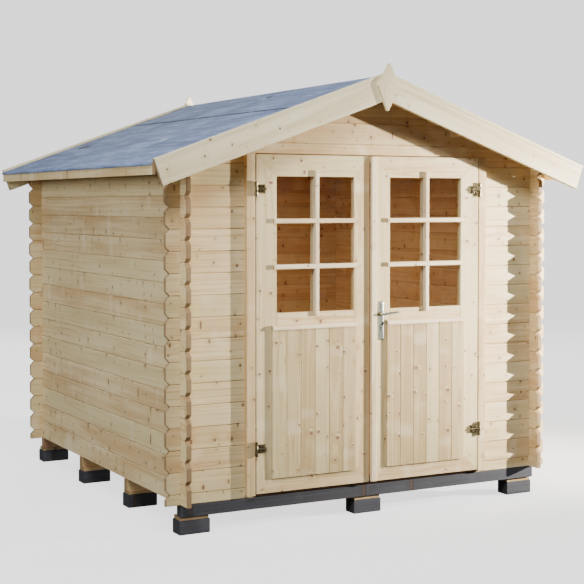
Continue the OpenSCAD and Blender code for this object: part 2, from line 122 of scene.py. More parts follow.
class Sheet:
    # a node tree, and the one method that adds any node to it

    def __init__(self, tree):
        self.tree = tree

    def node(self, kind, settings=None, values=None, out=0):
        made = self.tree.nodes.new(kind)
        for name, value in (settings or {}).items():
            setattr(made, name, value)
        for name, value in (values or {}).items():
            if isinstance(name, int):
                socket = made.inputs[name]
            else:
                socket = next(s for s in made.inputs if s.name == name and s.enabled)
            if isinstance(value, Wire):
                self.tree.links.new(value.socket, socket)
            else:
                # colours are written without their alpha
                socket.default_value = (*value, 1.0) if socket.type == "RGBA" else value
        return Wire(self, made.outputs[out]) if made.outputs else None

    def maths(self, operation, *values):
        return self.node("ShaderNodeMath", {"operation": operation}, dict(enumerate(values)))

    def vector(self, operation, *values):
        return self.node("ShaderNodeVectorMath", {"operation": operation},
                         dict(enumerate(values)))

    def smooth(self, value, low, high):
        # 0 at low, 1 at high, with soft ends
        return self.node("ShaderNodeMapRange", {"interpolation_type": "SMOOTHSTEP"},
                         {0: value, 1: low, 2: high, 3: 0.0, 4: 1.0})

    def mix(self, factor, first, second):
        return self.node("ShaderNodeMix", {"data_type": "RGBA"},
                         {0: factor, 6: first, 7: second}, out=2)

    def axes(self, vector):
        found = self.node("ShaderNodeSeparateXYZ", values={0: vector})
        return found, found.part(1), found.part(2)

    def joined(self, x, y, z):
        return self.node("ShaderNodeCombineXYZ", values={0: x, 1: y, 2: z})

    def noise(self, place, scale=1.0, detail=2.0, rough=0.5):
        # scale is one number, or three that stretch the pattern
        if isinstance(scale, tuple):
            place, scale = self.vector("MULTIPLY", place, scale), 1.0
        return self.node("ShaderNodeTexNoise", {"noise_dimensions": "3D"},
                         {"Vector": place, "Scale": scale, "Detail": detail,
                          "Roughness": rough})

    def cells(self, place, flat, values):
        return self.node("ShaderNodeTexVoronoi", {"voronoi_dimensions": "2D" if flat else "3D"},
                         {"Vector": place, "Scale": 1.0, **values}, out=1)

    def attribute(self, name, out):
        return self.node("ShaderNodeAttribute", {"attribute_name": name}, out=out)

    def place(self):
        return self.node("ShaderNodeTexCoord", out=3)

    def bump(self, height, strength, distance):
        return self.node("ShaderNodeBump", values={"Strength": strength,
                                                   "Distance": distance, "Height": height})


def newFinish(name):
    finish = bpy.data.materials.new(name)
    finish.use_nodes = True
    finish.node_tree.nodes.clear()
    return finish, Sheet(finish.node_tree)


def closeFinish(sheet, values):
    shader = sheet.node("ShaderNodeBsdfPrincipled", values=values)
    sheet.node("ShaderNodeOutputMaterial", values={"Surface": shader})


# finishes

def timberFinish(name, look):
    finish, sheet = newFinish(name)
    grain = sheet.attribute("grain", 1)      # along, across and through the board
    tone = sheet.attribute("tone", 2)        # differs from board to board
    cut = sheet.attribute("cut", 2)          # 1 on end grain
    along, across, through = sheet.axes(grain)

    # knots, each a round or a long spike in its own cell
    long, wide = look["knotCell"]
    flat = sheet.vector("MULTIPLY", grain, (1 / long, 1 / wide, 0.0))
    cell = sheet.cells(flat, True, {"Randomness": 0.85})
    lot, size, shape = sheet.axes(cell)
    away = sheet.vector("SUBTRACT", flat, cell.part(2))
    dx, dy = sheet.axes(sheet.vector("MULTIPLY", away, (long, wide, 0.0)))[:2]
    squeeze = 1.0 - shape ** 3.0 * look["spike"]
    ragged = sheet.noise(grain, 160.0)
    reach = sheet.maths("SQRT", dx * dx + dy * dy * squeeze * squeeze) + ragged * 0.0016
    least, most = look["knotRadius"]
    radius = size ** 2.0 * (most - least) + least
    ratio = (reach - 0.0008) / radius
    kept = sheet.maths("GREATER_THAN", lot, 1.0 - look["knotShare"])
    knot = sheet.smooth(ratio, 1.1, 0.8) * kept
    rim = sheet.smooth(ratio, 1.6, 1.05) * kept
    swirl = sheet.smooth(ratio, 6.0, 0.6) * kept
    # fibres torn up round a knot, painted pale on one side as a highlight and dark on the other
    # as shade
    torn = sheet.noise(grain, (70.0, 90.0, 0.0), 1.0)
    halo = (sheet.smooth(sheet.maths("ABSOLUTE", ratio - 1.5 - torn * 1.4), 0.75, 0.1)
            * sheet.smooth(torn, 0.40, 0.62) * kept)
    # the knot's lit side and shaded side, for the painted highlight and the painted shade
    side = (dx + dy * 0.7) / radius
    shine, dusk = sheet.smooth(side, 0.2, 1.3), sheet.smooth(side, -0.2, -1.3)

    # growth rings round a pith that runs along the board, bent past the knots
    v = across - sheet.maths("ROUND", across)
    w = through - sheet.maths("ROUND", through)
    wander = sheet.noise(grain, look["wanderScale"])
    depth = (sheet.maths("SQRT", v * v + w * w) + (wander - 0.5) * look["wander"]
             + swirl * radius * 0.9)
    wave = sheet.maths("SINE", depth * (2 * math.pi / look["ring"])) * 0.5 + 0.5
    ring = wave * wave * wave
    band = sheet.noise(sheet.joined(along * 0.5, depth * 62.0, 0.0), 1.0, 3.0, 0.6)
    streak = sheet.smooth(sheet.noise(sheet.joined(along * 1.6, depth * 150.0, tone * 9.0),
                                      1.0, 2.0, 0.6), 0.53, 0.66)
    patch = sheet.noise(grain, look["patchScale"])
    fibre = sheet.noise(grain, look["fibreScale"])
    # pale patches across the grain: a painted sheen
    sheen = sheet.smooth(sheet.noise(grain, look["sheenScale"], 1.0), 0.56, 0.74)

    shade = ((band - 0.5) * look["band"] + (ring - 0.3) * look["ringTone"]
             + (patch - 0.5) * look["patch"] + (fibre - 0.5) * look["fibre"]
             + streak * look["streak"] + tone * look["boardTone"] + swirl * look["swirl"]
             + 0.35)
    colour = sheet.mix(sheet.smooth(shade, -0.25, 1.25), look["light"], look["deep"])
    pink = sheet.smooth(patch + tone * 0.10, 0.52, 0.74)
    # the painted sheen, and the knots' painted highlight and painted shade, are mixed in with the
    # wood's own colours
    for share, over in ((sheen * look["sheen"], "pale"),
                        ((pink + streak * 0.35) * look["blush"], "warm"),
                        (sheet.smooth(tone, 0.1, -0.9) * look["oliveShare"], "olive"),
                        (halo * shine * look["halo"], "pale"),
                        (halo * dusk * look["halo"] * 0.8, "rim"),
                        (rim * 0.55, "rim")):
        colour = sheet.mix(share, colour, look[over])
    heart = sheet.mix(sheet.smooth(ratio, 0.2, 0.75), look["heart"], look["knot"])
    colour = sheet.mix(knot * look["knotDepth"], colour, heart)
    endShade = sheet.smooth(wave * 0.6 + ragged * 0.5 + tone * 0.1, 0.1, 0.9)
    endColour = sheet.mix(endShade, look["endLight"], look["end"])
    colour = sheet.mix(cut * look["endShare"], colour, endColour)

    height = ((fibre * 0.35 + band * 0.4 - ring * 0.25 - knot * 0.5) * (1.0 - cut)
              + ragged * cut * 1.4)
    rough = look["rough"] + (fibre - 0.5) * 0.16 - knot * 0.12 + cut * 0.12
    closeFinish(sheet, {"Base Color": colour, "Roughness": rough,
                        "Specular IOR Level": 0.35,
                        "Normal": sheet.bump(height, look["relief"], 0.0006)})
    return finish


spruce = {
    "light": (0.80, 0.615, 0.335), "deep": (0.52, 0.335, 0.135),
    "pale": (0.88, 0.74, 0.49), "warm": (0.66, 0.40, 0.19), "blush": 0.34,
    "olive": (0.60, 0.50, 0.235), "oliveShare": 0.45,
    "knot": (0.15, 0.072, 0.038), "heart": (0.27, 0.135, 0.07), "rim": (0.50, 0.31, 0.14),
    "knotCell": (0.12, 0.066), "knotRadius": (0.0028, 0.0084),
    "knotShare": 0.5, "knotDepth": 0.88, "spike": 0.8, "swirl": 0.28, "halo": 0.25,
    "endLight": (0.36, 0.225, 0.10), "end": (0.18, 0.095, 0.042), "endShare": 0.9,
    "ring": 0.0052, "ringTone": 0.16, "band": 1.9, "streak": 0.42, "boardTone": 0.26,
    "wander": 0.05, "wanderScale": (0.9, 4.0, 4.0),
    "patch": 1.8, "patchScale": (1.3, 9.0, 9.0),
    "fibre": 0.3, "fibreScale": (38.0, 820.0, 820.0),
    "sheen": 0.42, "sheenScale": (7.0, 3.0, 3.0),
    "rough": 0.56, "relief": 0.35,
}
joinerySpruce = {
    **spruce, "light": (0.81, 0.63, 0.35), "knotCell": (0.15, 0.06),
    "knotRadius": (0.0026, 0.0080), "knotShare": 0.55, "spike": 0.45, "halo": 0.6,
    "band": 2.0, "patch": 1.2,
}
paleBatten = {
    **joinerySpruce, "light": (0.88, 0.72, 0.46), "deep": (0.66, 0.47, 0.24),
    "endLight": (0.42, 0.32, 0.19), "end": (0.26, 0.18, 0.10), "oliveShare": 0.0,
    "knotShare": 0.3, "boardTone": 0.08,
}
panelSpruce = {
    **joinerySpruce, "light": (0.68, 0.525, 0.275), "deep": (0.43, 0.285, 0.115),
    "pale": (0.84, 0.72, 0.50), "warm": (0.58, 0.37, 0.175), "olive": (0.56, 0.46, 0.22),
    "knot": (0.11, 0.045, 0.022), "knotCell": (0.12, 0.07), "knotRadius": (0.0022, 0.0090),
    "knotShare": 0.6, "swirl": 0.45, "halo": 0.8, "boardTone": 0.6, "streak": 0.6,
    "sheen": 0.3, "blush": 0.2,
}
bargeSpruce = {
    **spruce, "light": (0.97, 0.83, 0.53), "deep": (0.72, 0.56, 0.295),
    "rim": (0.55, 0.36, 0.18), "knotCell": (0.17, 0.07), "knotShare": 0.55, "band": 2.1,
    "oliveShare": 0.3, "blush": 0.06,
}
fasciaSpruce = {
    **spruce, "knotCell": (0.10, 0.05), "knotRadius": (0.003, 0.007), "knotShare": 0.75,
    "spike": 0.9,
}
roofSpruce = {
    **spruce, "light": (0.70, 0.49, 0.24), "deep": (0.46, 0.27, 0.105),
    "knotRadius": (0.003, 0.012),
}
oldBeam = {
    **spruce, "light": (0.38, 0.20, 0.10), "deep": (0.22, 0.105, 0.05),
    "pale": (0.44, 0.26, 0.14), "warm": (0.33, 0.14, 0.06), "rim": (0.15, 0.07, 0.03),
    "endLight": (0.40, 0.235, 0.12), "end": (0.20, 0.10, 0.05), "oliveShare": 0.0,
    "rough": 0.7, "relief": 0.6,
}
stainedBeam = {
    **spruce, "light": (0.060, 0.059, 0.066), "deep": (0.028, 0.028, 0.033),
    "pale": (0.085, 0.084, 0.09), "warm": (0.055, 0.042, 0.038), "blush": 0.5,
    "knot": (0.050, 0.030, 0.018), "heart": (0.075, 0.045, 0.026),
    "rim": (0.030, 0.022, 0.016), "knotCell": (0.42, 0.08), "knotRadius": (0.006, 0.012),
    "knotShare": 1.0, "spike": 0.97, "endLight": (0.045, 0.043, 0.045),
    "end": (0.018, 0.017, 0.018), "oliveShare": 0.0, "rough": 0.68, "relief": 0.8,
}


def feltFinish(look):
    finish, sheet = newFinish("blueFelt")
    place = sheet.place()
    grit = sheet.noise(place, 1500.0, 2.0, 0.7)
    fleck = sheet.noise(place, 420.0, 3.0, 0.7)
    cloud = sheet.noise(place, 3.2, 4.0, 0.55)
    streak = sheet.noise(place, (22.0, 2.2, 22.0), 3.0)
    crease = sheet.noise(place, (60.0, 9.0, 60.0))
    # a few small scuffs
    cell = sheet.cells(sheet.vector("MULTIPLY", place, (9.0, 3.2, 9.0)), False, {})
    scuff = (sheet.smooth(cell.part(0) + (fleck - 0.5) * 0.12, 0.10, 0.045)
             * sheet.maths("GREATER_THAN", sheet.axes(cell)[0], 0.93))
    # fine creases, painted dark as the shade in them
    fold = sheet.noise(place, (52.0, 9.0, 52.0), 3.0, 0.6)
    line = sheet.smooth(sheet.maths("ABSOLUTE", fold - 0.47), 0.020, 0.004)
    line = line * sheet.smooth(cloud + (fleck - 0.5) * 0.3, 0.46, 0.56)
    shade = ((cloud - 0.5) * 1.5 + (streak - 0.5) * 1.2 + (fleck - 0.5) * 1.0
             + (grit - 0.5) * 1.2 + 0.47 - line * 1.9)
    colour = sheet.mix(sheet.smooth(shade, 0.02, 1.0), look["dark"], look["light"])
    colour = sheet.mix(scuff * 0.8, colour, look["scuff"])
    # blackened edges: at the lap, partly the bitumen of the cut edge and partly painted shade
    # along its step; at the rear end, darker in places
    black = sheet.smooth(sheet.attribute("dirt", 2) + (fleck - 0.5) * 0.3, 0.25, 0.7)
    colour = sheet.mix(black * 0.9, colour, look["scuff"])
    # larger chips, each at its own place
    torn = sheet.noise(place, 38.0, 2.0, 0.6)
    for x, y, long, wide, kind in look["chips"]:
        away = sheet.vector("SUBTRACT", place, (x, y, 0.0))
        dx, dy = sheet.axes(sheet.vector("MULTIPLY", away, (1 / wide, 1 / long, 0.0)))[:2]
        reach = dx * dx + dy * dy + (torn - 0.5) * 3.0 + (fleck - 0.5) * 0.8
        colour = sheet.mix(sheet.smooth(reach, 1.0, 0.6) * 0.95, colour, look[kind])
    height = grit * 0.5 + fleck * 0.5 + crease * 1.2 + streak * 0.8 - line * 0.8
    closeFinish(sheet, {"Base Color": colour, "Roughness": 0.82 + (fleck - 0.5) * 0.2,
                        "Specular IOR Level": 0.3,
                        "Normal": sheet.bump(height, 0.7, 0.0016)})
    return finish


def metalFinish(name, look):
    finish, sheet = newFinish(name)
    place = sheet.place()
    cloud = sheet.noise(place, 90.0, 3.0, 0.6)
    brushed = sheet.noise(place, look["brush"])
    spots = sheet.noise(place, 700.0)
    shade = (cloud - 0.5) * look["cloud"] + (brushed - 0.5) * 0.5 + 0.5
    colour = sheet.mix(sheet.smooth(shade, 0.1, 0.9), look["dark"], look["light"])
    colour = sheet.mix(sheet.smooth(spots + cloud * 0.4, 0.86, 0.96) * 0.6, colour,
                       look["spot"])
    rough = look["rough"] + (cloud - 0.5) * 0.22 + (brushed - 0.5) * 0.12
    closeFinish(sheet, {"Base Color": colour, "Metallic": 1.0, "Roughness": rough,
                        "Normal": sheet.bump(brushed * 0.6 + spots * 0.4, 0.25, 0.0002)})
    return finish


def glassFinish(look):
    finish, sheet = newFinish("windowGlass")
    dust = sheet.noise(sheet.place(), 14.0, 4.0, 0.6)
    facing = sheet.node("ShaderNodeLayerWeight", values={"Blend": look["edge"]})
    clear = sheet.node("ShaderNodeBsdfTransparent", values={"Color": look["through"]})
    gloss = sheet.node("ShaderNodeBsdfPrincipled", values={
        "Base Color": look["body"], "Roughness": 0.03 + dust * 0.05})
    share = sheet.maths("MINIMUM", facing * 0.8 + sheet.smooth(dust, 0.45, 0.8) * 0.05
                        + look["least"], 0.9)
    sheet.node("ShaderNodeOutputMaterial", values={
        "Surface": sheet.node("ShaderNodeMixShader", values={0: share, 1: clear, 2: gloss})})
    return finish


feltLook = {
    "light": (0.325, 0.405, 0.61), "dark": (0.105, 0.14, 0.25),
    "scuff": (0.045, 0.045, 0.05), "pale": (0.62, 0.66, 0.74),
    # place across and along, length, width, and which colour shows
    "chips": ((-0.126, -0.172, 0.034, 0.030, "scuff"), (-0.165, -0.172, 0.030, 0.012, "pale"),
              (-0.917, -0.403, 0.032, 0.028, "pale"), (-0.906, 0.985, 0.080, 0.030, "scuff"),
              (-0.896, 0.905, 0.036, 0.030, "scuff"), (0.410, 0.520, 0.026, 0.024, "pale"),
              (0.880, -0.300, 0.038, 0.026, "scuff")),
}
zincLook = {
    "light": (0.38, 0.31, 0.17), "dark": (0.07, 0.052, 0.03), "spot": (0.16, 0.11, 0.06),
    "brush": (60.0, 60.0, 900.0), "cloud": 1.3, "rough": 0.36,
}
silverLook = {
    "light": (0.50, 0.52, 0.45), "dark": (0.40, 0.42, 0.36), "spot": (0.30, 0.29, 0.26),
    "brush": (900.0, 60.0, 60.0), "cloud": 0.7, "rough": 0.30,
}
nailLook = {
    "light": (0.17, 0.15, 0.13), "dark": (0.06, 0.05, 0.04), "spot": (0.12, 0.08, 0.05),
    "brush": (300.0, 300.0, 300.0), "cloud": 1.0, "rough": 0.5,
}
# the lock's case, painted near-black as the shade inside the keyhole
lockShadeLook = {
    **nailLook, "light": (0.035, 0.031, 0.024), "dark": (0.012, 0.01, 0.008),
    "spot": (0.03, 0.02, 0.01), "rough": 0.6,
}
glassLook = {"edge": 0.10, "through": (0.93, 0.95, 0.93), "body": (0.10, 0.12, 0.11),
             "least": 0.02}

wallWood = timberFinish("planedSpruce", spruce)
leafWood = timberFinish("joinerySpruce", joinerySpruce)
barWood = timberFinish("paleBatten", paleBatten)
panelWood = timberFinish("panelSpruce", panelSpruce)
fasciaWood = timberFinish("fasciaSpruce", fasciaSpruce)
bargeWood = timberFinish("bargeSpruce", bargeSpruce)
roofWood = timberFinish("roofSpruce", roofSpruce)
beamWood = timberFinish("rawBeam", oldBeam)
darkWood = timberFinish("stainedBeam", stainedBeam)
felt = feltFinish(feltLook)
zinc = metalFinish("yellowZinc", zincLook)
steel = metalFinish("satinSilver", silverLook)
nailSteel = metalFinish("nailSteel", nailLook)
lockIron = metalFinish("lockIron", lockShadeLook)
glass = glassFinish(glassLook)
print("finishes ready")


# outlines and meshes

def drift(x, y, z):
    # smooth noise from about -1 to 1
    return noise.noise(Vector((x, y, z)))


def inset(outline, steps):
    # moves each edge of an anticlockwise outline inwards by its own step
    moved = []
    count = len(outline)
    for i in range(count):
        here, before, after = outline[i], outline[i - 1], outline[(i + 1) % count]
        first, second = (here - before).normalized(), (after - here).normalized()
        one, two = Vector((-first.y, first.x)), Vector((-second.y, second.x))
        turn = one.x * two.y - one.y * two.x
        a, b = steps[i - 1], steps[i]
        if abs(turn) < 1e-5:
            moved.append(here + one * a)
        else:
            moved.append(here + Vector(((a * two.y - b * one.y) / turn,
                                        (one.x * b - two.x * a) / turn)))
    return moved


def eased(points, size):
    # takes the convex corners off an anticlockwise outline
    result = []
    points = [Vector(p) for p in points]
    for i, here in enumerate(points):
        back = points[i - 1] - here
        on = points[(i + 1) % len(points)] - here
        if back.cross(on) > -1e-9:
            result.append(here)
            continue
        step = min(size, back.length * 0.4, on.length * 0.4)
        one, two = here + back.normalized() * step, here + on.normalized() * step
        middle = here + (back.normalized() + on.normalized()) * step * 0.3
        result += [one, middle, two]
    return result


def rectangle(x0, x1, y0, y1):
    return [Vector((x0, y0)), Vector((x1, y0)), Vector((x1, y1)), Vector((x0, y1))]


def skin(mesh, loops, caps=True):
    # faces from each loop to the next; a loop of one point closes the shape
    faces = [mesh.faces.new(loop) for loop in (loops[0], loops[-1]) if caps and len(loop) > 1]
    for one, two in zip(loops, loops[1:]):
        for i in range(max(len(one), len(two))):
            faces.append(mesh.faces.new(
                ([one[i - 1], one[i]] if len(one) > 1 else one)
                + ([two[i], two[i - 1]] if len(two) > 1 else two)))
    return faces


def closeSheet(mesh, upper, lower):
    # both sides of a sheet given as rows of points, and its four rims
    for a, b, c, d in zip(upper, upper[1:], lower, lower[1:]):
        for i in range(len(a) - 1):
            mesh.faces.new((a[i], a[i + 1], b[i + 1], b[i]))
            mesh.faces.new((c[i], d[i], d[i + 1], c[i + 1]))
        for i in (0, -1):
            mesh.faces.new((a[i], b[i], d[i], c[i]))
    for a, c in ((upper[0], lower[0]), (upper[-1], lower[-1])):
        for i in range(len(a) - 1):
            mesh.faces.new((a[i], c[i], c[i + 1], a[i + 1]))


def meshData(mesh, name, smooth=False, outwards=True):
    if outwards:
        bmesh.ops.recalc_face_normals(mesh, faces=mesh.faces)
    for face in mesh.faces:
        face.smooth = smooth
    data = bpy.data.meshes.new(name)
    mesh.to_mesh(data)
    mesh.free()
    return data


def placed(name, data, finish):
    made = bpy.data.objects.new(name, data)
    bpy.context.scene.collection.objects.link(made)
    if finish is not None:
        data.materials.clear()
        data.materials.append(finish)
    return made


def settle(piece, body, slot, *nodes):
    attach(piece, body)
    if nodes:
        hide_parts(*nodes)
    return piece


# boards

planes = {"xz": (0, 2, 1), "yz": (1, 2, 0), "xy": (0, 1, 2)}


class Timber:
    # collects boards into one mesh, each with its own grain, tone and end grain

    def __init__(self, seed):
        self.mesh = bmesh.new()
        self.grain = self.mesh.verts.layers.float_vector.new("grain")
        self.tone = self.mesh.verts.layers.float.new("tone")
        self.cut = self.mesh.faces.layers.float.new("cut")
        self.draw = random.Random(seed)

    def loft(self, stations, plane, along, tone=None):
        # stations are pairs of a level and an outline there
        a, b, c = planes[plane]
        loops = []
        for level, outline in stations:
            loop = []
            for point in outline:
                place = Vector((0, 0, 0))
                place[a], place[b], place[c] = point[0], point[1], level
                loop.append(self.mesh.verts.new(place))
            loops.append(loop)
        faces = skin(self.mesh, loops)
        along = Vector(along).normalized()
        normal, across = (ex, ey, ez)[c], (ex, ey, ez)[a]
        if abs(along.dot(normal)) > 0.9:
            through = along.cross(across).normalized()
        else:
            across = normal.cross(along).normalized()
            through = normal
        verts = [v for loop in loops for v in loop]
        middle = sum((v.co for v in verts), Vector()) / len(verts)
        # each board comes from its own place in a log
        draw = self.draw
        shift = Vector((draw.uniform(0, 60), draw.randrange(40) + draw.uniform(-0.05, 0.05),
                        draw.randrange(40) + draw.choice((-1, 1)) * draw.uniform(0.02, 0.11)))
        tone = draw.uniform(-1, 1) if tone is None else tone
        for v in verts:
            away = v.co - middle
            v[self.grain] = Vector((away.dot(along), away.dot(across),
                                    away.dot(through))) + shift
            v[self.tone] = tone
        for face in faces:
            face.normal_update()
            face[self.cut] = 1.0 if abs(face.normal.dot(along)) > 0.6 else 0.0

    def board(self, outline, low, high, plane, along, ease=0.001, steps=None, rings=None,
              tone=None):
        # a flat board, its long edges eased on both faces
        flat = [Vector(p) for p in outline]
        steps = steps or [ease] * len(flat)
        rings = rings or [(0.0, 1.0), (ease, 0.0)]
        levels = [(low + d, share) for d, share in rings]
        levels += [(high - d, share) for d, share in reversed(rings)]
        self.loft([(level, inset(flat, [s * share for s in steps]))
                   for level, share in levels], plane, along, tone)

    def block(self, low, high, along, ease=0.0015, tone=None):
        # a length of squared timber with all its edges eased
        axis = max(range(3), key=lambda i: abs(along[i]))
        plane = {0: "yz", 1: "xz", 2: "xy"}[axis]
        a, b, c = planes[plane]
        shape = eased(rectangle(low[a], high[a], low[b], high[b]), ease)
        self.board(shape, low[c], high[c], plane, along, ease, tone=tone)

    def object(self, name, finish, roofCut=False):
        if roofCut:
            trimUnderRoof(self.mesh)
        return placed(name, meshData(self.mesh, name), finish)


def trimUnderRoof(mesh):
    # cuts a mesh off under both slopes and closes the cuts
    for side in (-1, 1):
        cut = bmesh.ops.bisect_plane(
            mesh, geom=mesh.verts[:] + mesh.edges[:] + mesh.faces[:], dist=1e-7,
            plane_co=(0, 0, ridgeZ), plane_no=(side * slope, 0, 1), clear_outer=True)
        rims = [e for e in cut["geom_cut"] if isinstance(e, bmesh.types.BMEdge) and e.is_boundary]
        if rims:
            bmesh.ops.holes_fill(mesh, edges=rims, sides=0)


def newTree(name, output, inputs):
    # an empty geometry tree, its sheet, and a wire for each input
    tree = bpy.data.node_groups.new(name, "GeometryNodeTree")
    for label, kind in inputs:
        tree.interface.new_socket(label, in_out="INPUT", socket_type="NodeSocket" + kind)
    tree.interface.new_socket(output, in_out="OUTPUT", socket_type="NodeSocketGeometry")
    sheet = Sheet(tree)
    start = sheet.node("NodeGroupInput")
    return tree, sheet, [start.part(i) for i in range(len(inputs))]


def closeTree(sheet, geometry, finish):
    geometry = sheet.node("GeometryNodeSetMaterial", {},
                          {"Geometry": geometry, "Material": finish})
    sheet.node("NodeGroupOutput", {}, {0: geometry})


def repeatTree():
    # one board repeated in a row, each with its own grain, tone and play
    tree, sheet, wires = newTree("repeatBoards", "Boards", (
        ("Board", "Geometry"), ("Count", "Int"), ("Step", "Vector"), ("Play", "Vector"),
        ("Seed", "Int"), ("Finish", "Material")))
    board, count, step, play, seed, finish = wires

    def stored(boards, domain, rows):
        for name, kind, value in rows:
            boards = sheet.node("GeometryNodeStoreNamedAttribute",
                                {"data_type": kind, "domain": domain},
                                {"Geometry": boards, "Name": name, "Value": value})
        return boards

    def read(name, kind):
        return sheet.node("GeometryNodeInputNamedAttribute", {"data_type": kind},
                          {"Name": name})

    row = sheet.node("GeometryNodeMeshLine", {"mode": "OFFSET"},
                     {"Count": count, "Offset": step})
    boards = sheet.node("GeometryNodeInstanceOnPoints", {}, {"Points": row, "Instance": board})
    nudge = sheet.node("FunctionNodeRandomValue", {"data_type": "FLOAT_VECTOR"},
                       {0: (-1, -1, -1), 1: (1, 1, 1), "Seed": seed})
    boards = sheet.node("GeometryNodeTranslateInstances", {}, {
        "Instances": boards, "Local Space": False,
        "Translation": sheet.vector("MULTIPLY", nudge, play)})
    shift = sheet.node("FunctionNodeRandomValue", {"data_type": "FLOAT_VECTOR"},
                       {0: (0, -30, -30), 1: (60, 30, 30), "Seed": seed + 1})
    far, wide, deep = sheet.axes(shift)
    whole = sheet.maths("ROUND", wide)
    shift = sheet.joined(far, whole + (wide - whole) * 0.1, sheet.maths("ROUND", deep))
    tone = sheet.node("FunctionNodeRandomValue", {"data_type": "FLOAT"},
                      {2: -1.0, 3: 1.0, "Seed": seed + 2}, out=1)
    boards = stored(boards, "INSTANCE", (("rowShift", "FLOAT_VECTOR", shift),
                                         ("rowTone", "FLOAT", tone)))
    boards = sheet.node("GeometryNodeRealizeInstances", {}, {"Geometry": boards})
    total = sheet.vector("ADD", read("grain", "FLOAT_VECTOR"), read("rowShift", "FLOAT_VECTOR"))
    boards = stored(boards, "POINT", (("grain", "FLOAT_VECTOR", total),
                                      ("tone", "FLOAT", read("rowTone", "FLOAT"))))
    for name in ("rowShift", "rowTone"):
        boards = sheet.node("GeometryNodeRemoveAttribute", {},
                            {"Geometry": boards, "Name": name})
    closeTree(sheet, boards, finish)
    return tree


def fixingTree():
    # one head on every point, turned to face the way the point says
    tree, sheet, wires = newTree("setFixings", "Fixings", (
        ("Points", "Geometry"), ("Head", "Object"), ("Size", "Float"), ("Seed", "Int"),
        ("Finish", "Material")))
    points, head, size, seed, finish = wires
    shape = sheet.node("GeometryNodeObjectInfo", {"transform_space": "ORIGINAL"},
                       {"Object": head}).part("Geometry")
    facing = sheet.node("GeometryNodeInputNamedAttribute", {"data_type": "FLOAT_VECTOR"},
                        {"Name": "facing"})
    turned = sheet.node("FunctionNodeAlignRotationToVector", {"axis": "Z"},
                        {"Vector": facing})
    spin = sheet.node("FunctionNodeRandomValue", {"data_type": "FLOAT"},
                      {2: 0.0, 3: 6.283, "Seed": seed}, out=1)
    heads = sheet.node("GeometryNodeInstanceOnPoints", {}, {
        "Points": points, "Instance": shape, "Rotation": turned,
        "Scale": sheet.joined(size, size, size)})
    heads = sheet.node("GeometryNodeRotateInstances", {}, {
        "Instances": heads, "Rotation": sheet.joined(0.0, 0.0, spin), "Local Space": True})
    heads = sheet.node("GeometryNodeRealizeInstances", {}, {"Geometry": heads})
    closeTree(sheet, heads, finish)
    return tree


boardRow, fixings = repeatTree(), fixingTree()


def grown(base, tree, settings):
    # runs a tree on an object and keeps its result as a plain mesh
    modifier = base.modifiers.new("grow", "NODES")
    modifier.node_group = tree
    for item in tree.interface.items_tree:
        if item.in_out == "INPUT" and item.name in settings:
            modifier[item.identifier] = settings[item.name]
    bpy.context.view_layer.update()
    graph = bpy.context.evaluated_depsgraph_get()
    data = bpy.data.meshes.new_from_object(base.evaluated_get(graph),
                                           preserve_all_data_layers=True, depsgraph=graph)
    name = base.name
    base.modifiers.remove(modifier)
    bpy.data.objects.remove(base)
    return placed(name, data, None)


def rowOf(timber, name, finish, count, step, play, seed):
    return grown(timber.object(name, None), boardRow, {
        "Count": count, "Step": step, "Play": play, "Seed": seed, "Finish": finish})


def together(name, pieces):
    # joins pieces into the first and names it
    first = pieces[0]
    with bpy.context.temp_override(active_object=first, object=first,
                                   selected_objects=pieces,
                                   selected_editable_objects=pieces):
        bpy.ops.object.join()
    first.name = name
    first.data.name = name
    return first


# walls of crossed planks

wall = {
    "course": 0.114,        # height that one plank covers
    "chamfer": 0.0040,      # long edges of a plank
    "endCut": 0.024,        # corners taken off a plank end
    "endEase": 0.0012,      # edges of a plank end
    "notchEase": 0.0003,    # edges of a notch
    "gap": 0.0012,          # half of the dark gap in a joint
    "gapDepth": 0.008,      # how far in the gap is closed
    "play": 0.0004,         # in the corner joints
    "wander": (0.0008, 0.0004),  # how far a plank lies off, along and across its wall
    "gableTone": 0.8,       # the gable's boards are a little redder
    "seed": 21,
}


def plankOutline(x0, x1, z0, z1, ends, notches, cutLow=True, cutHigh=True):
    # one plank seen from outside, with its notches and its cut ends; beside the points,
    # how much the edge after each one is eased
    cut, quarter = wall["endCut"], wall["course"] / 4 + wall["play"] / 2
    long, end, notch = wall["chamfer"], wall["endEase"], wall["notchEase"]
    low, high = [[cut if e and wanted else 0.0 for e in ends] for wanted in (cutLow, cutHigh)]
    # along the foot to the right, up, and back along the top
    rows = [(x0 + low[0], z0, long)]
    for a, b, foot, top in sorted(notches):
        if foot:
            rows += [(a, z0, notch), (a, z0 + quarter, notch), (b, z0 + quarter, notch),
                     (b, z0, long)]
    if low[1]:
        rows.append((x1 - cut, z0, end))
    rows.append((x1, z0 + low[1], end))
    if high[1]:
        rows.append((x1, z1 - cut, end))
    rows.append((x1 - high[1], z1, long))
    for a, b, foot, top in sorted(notches, reverse=True):
        if top:
            rows += [(b, z1, notch), (b, z1 - quarter, notch), (a, z1 - quarter, notch),
                     (a, z1, long)]
    if high[0]:
        rows.append((x0 + cut, z1, end))
    rows.append((x0, z1 - high[0], end))
    if low[0]:
        rows.append((x0, z0 + cut, end))
    return [Vector(row[:2]) for row in rows], [row[2] for row in rows]


def plank(timber, plane, face, outline, steps, tone=None):
    # chamfered long edges, a narrow gap behind them, and the joint closed inside
    c, g, depth = wall["chamfer"], wall["gap"] / wall["chamfer"], wall["gapDepth"]
    timber.board(outline, face, face + wallT, plane, ex if plane == "xz" else ey,
                 steps=steps, tone=tone,
                 rings=[(0.0, 1.0), (c * (1 - g), g), (depth, g), (depth + 0.0005, 0.0)])


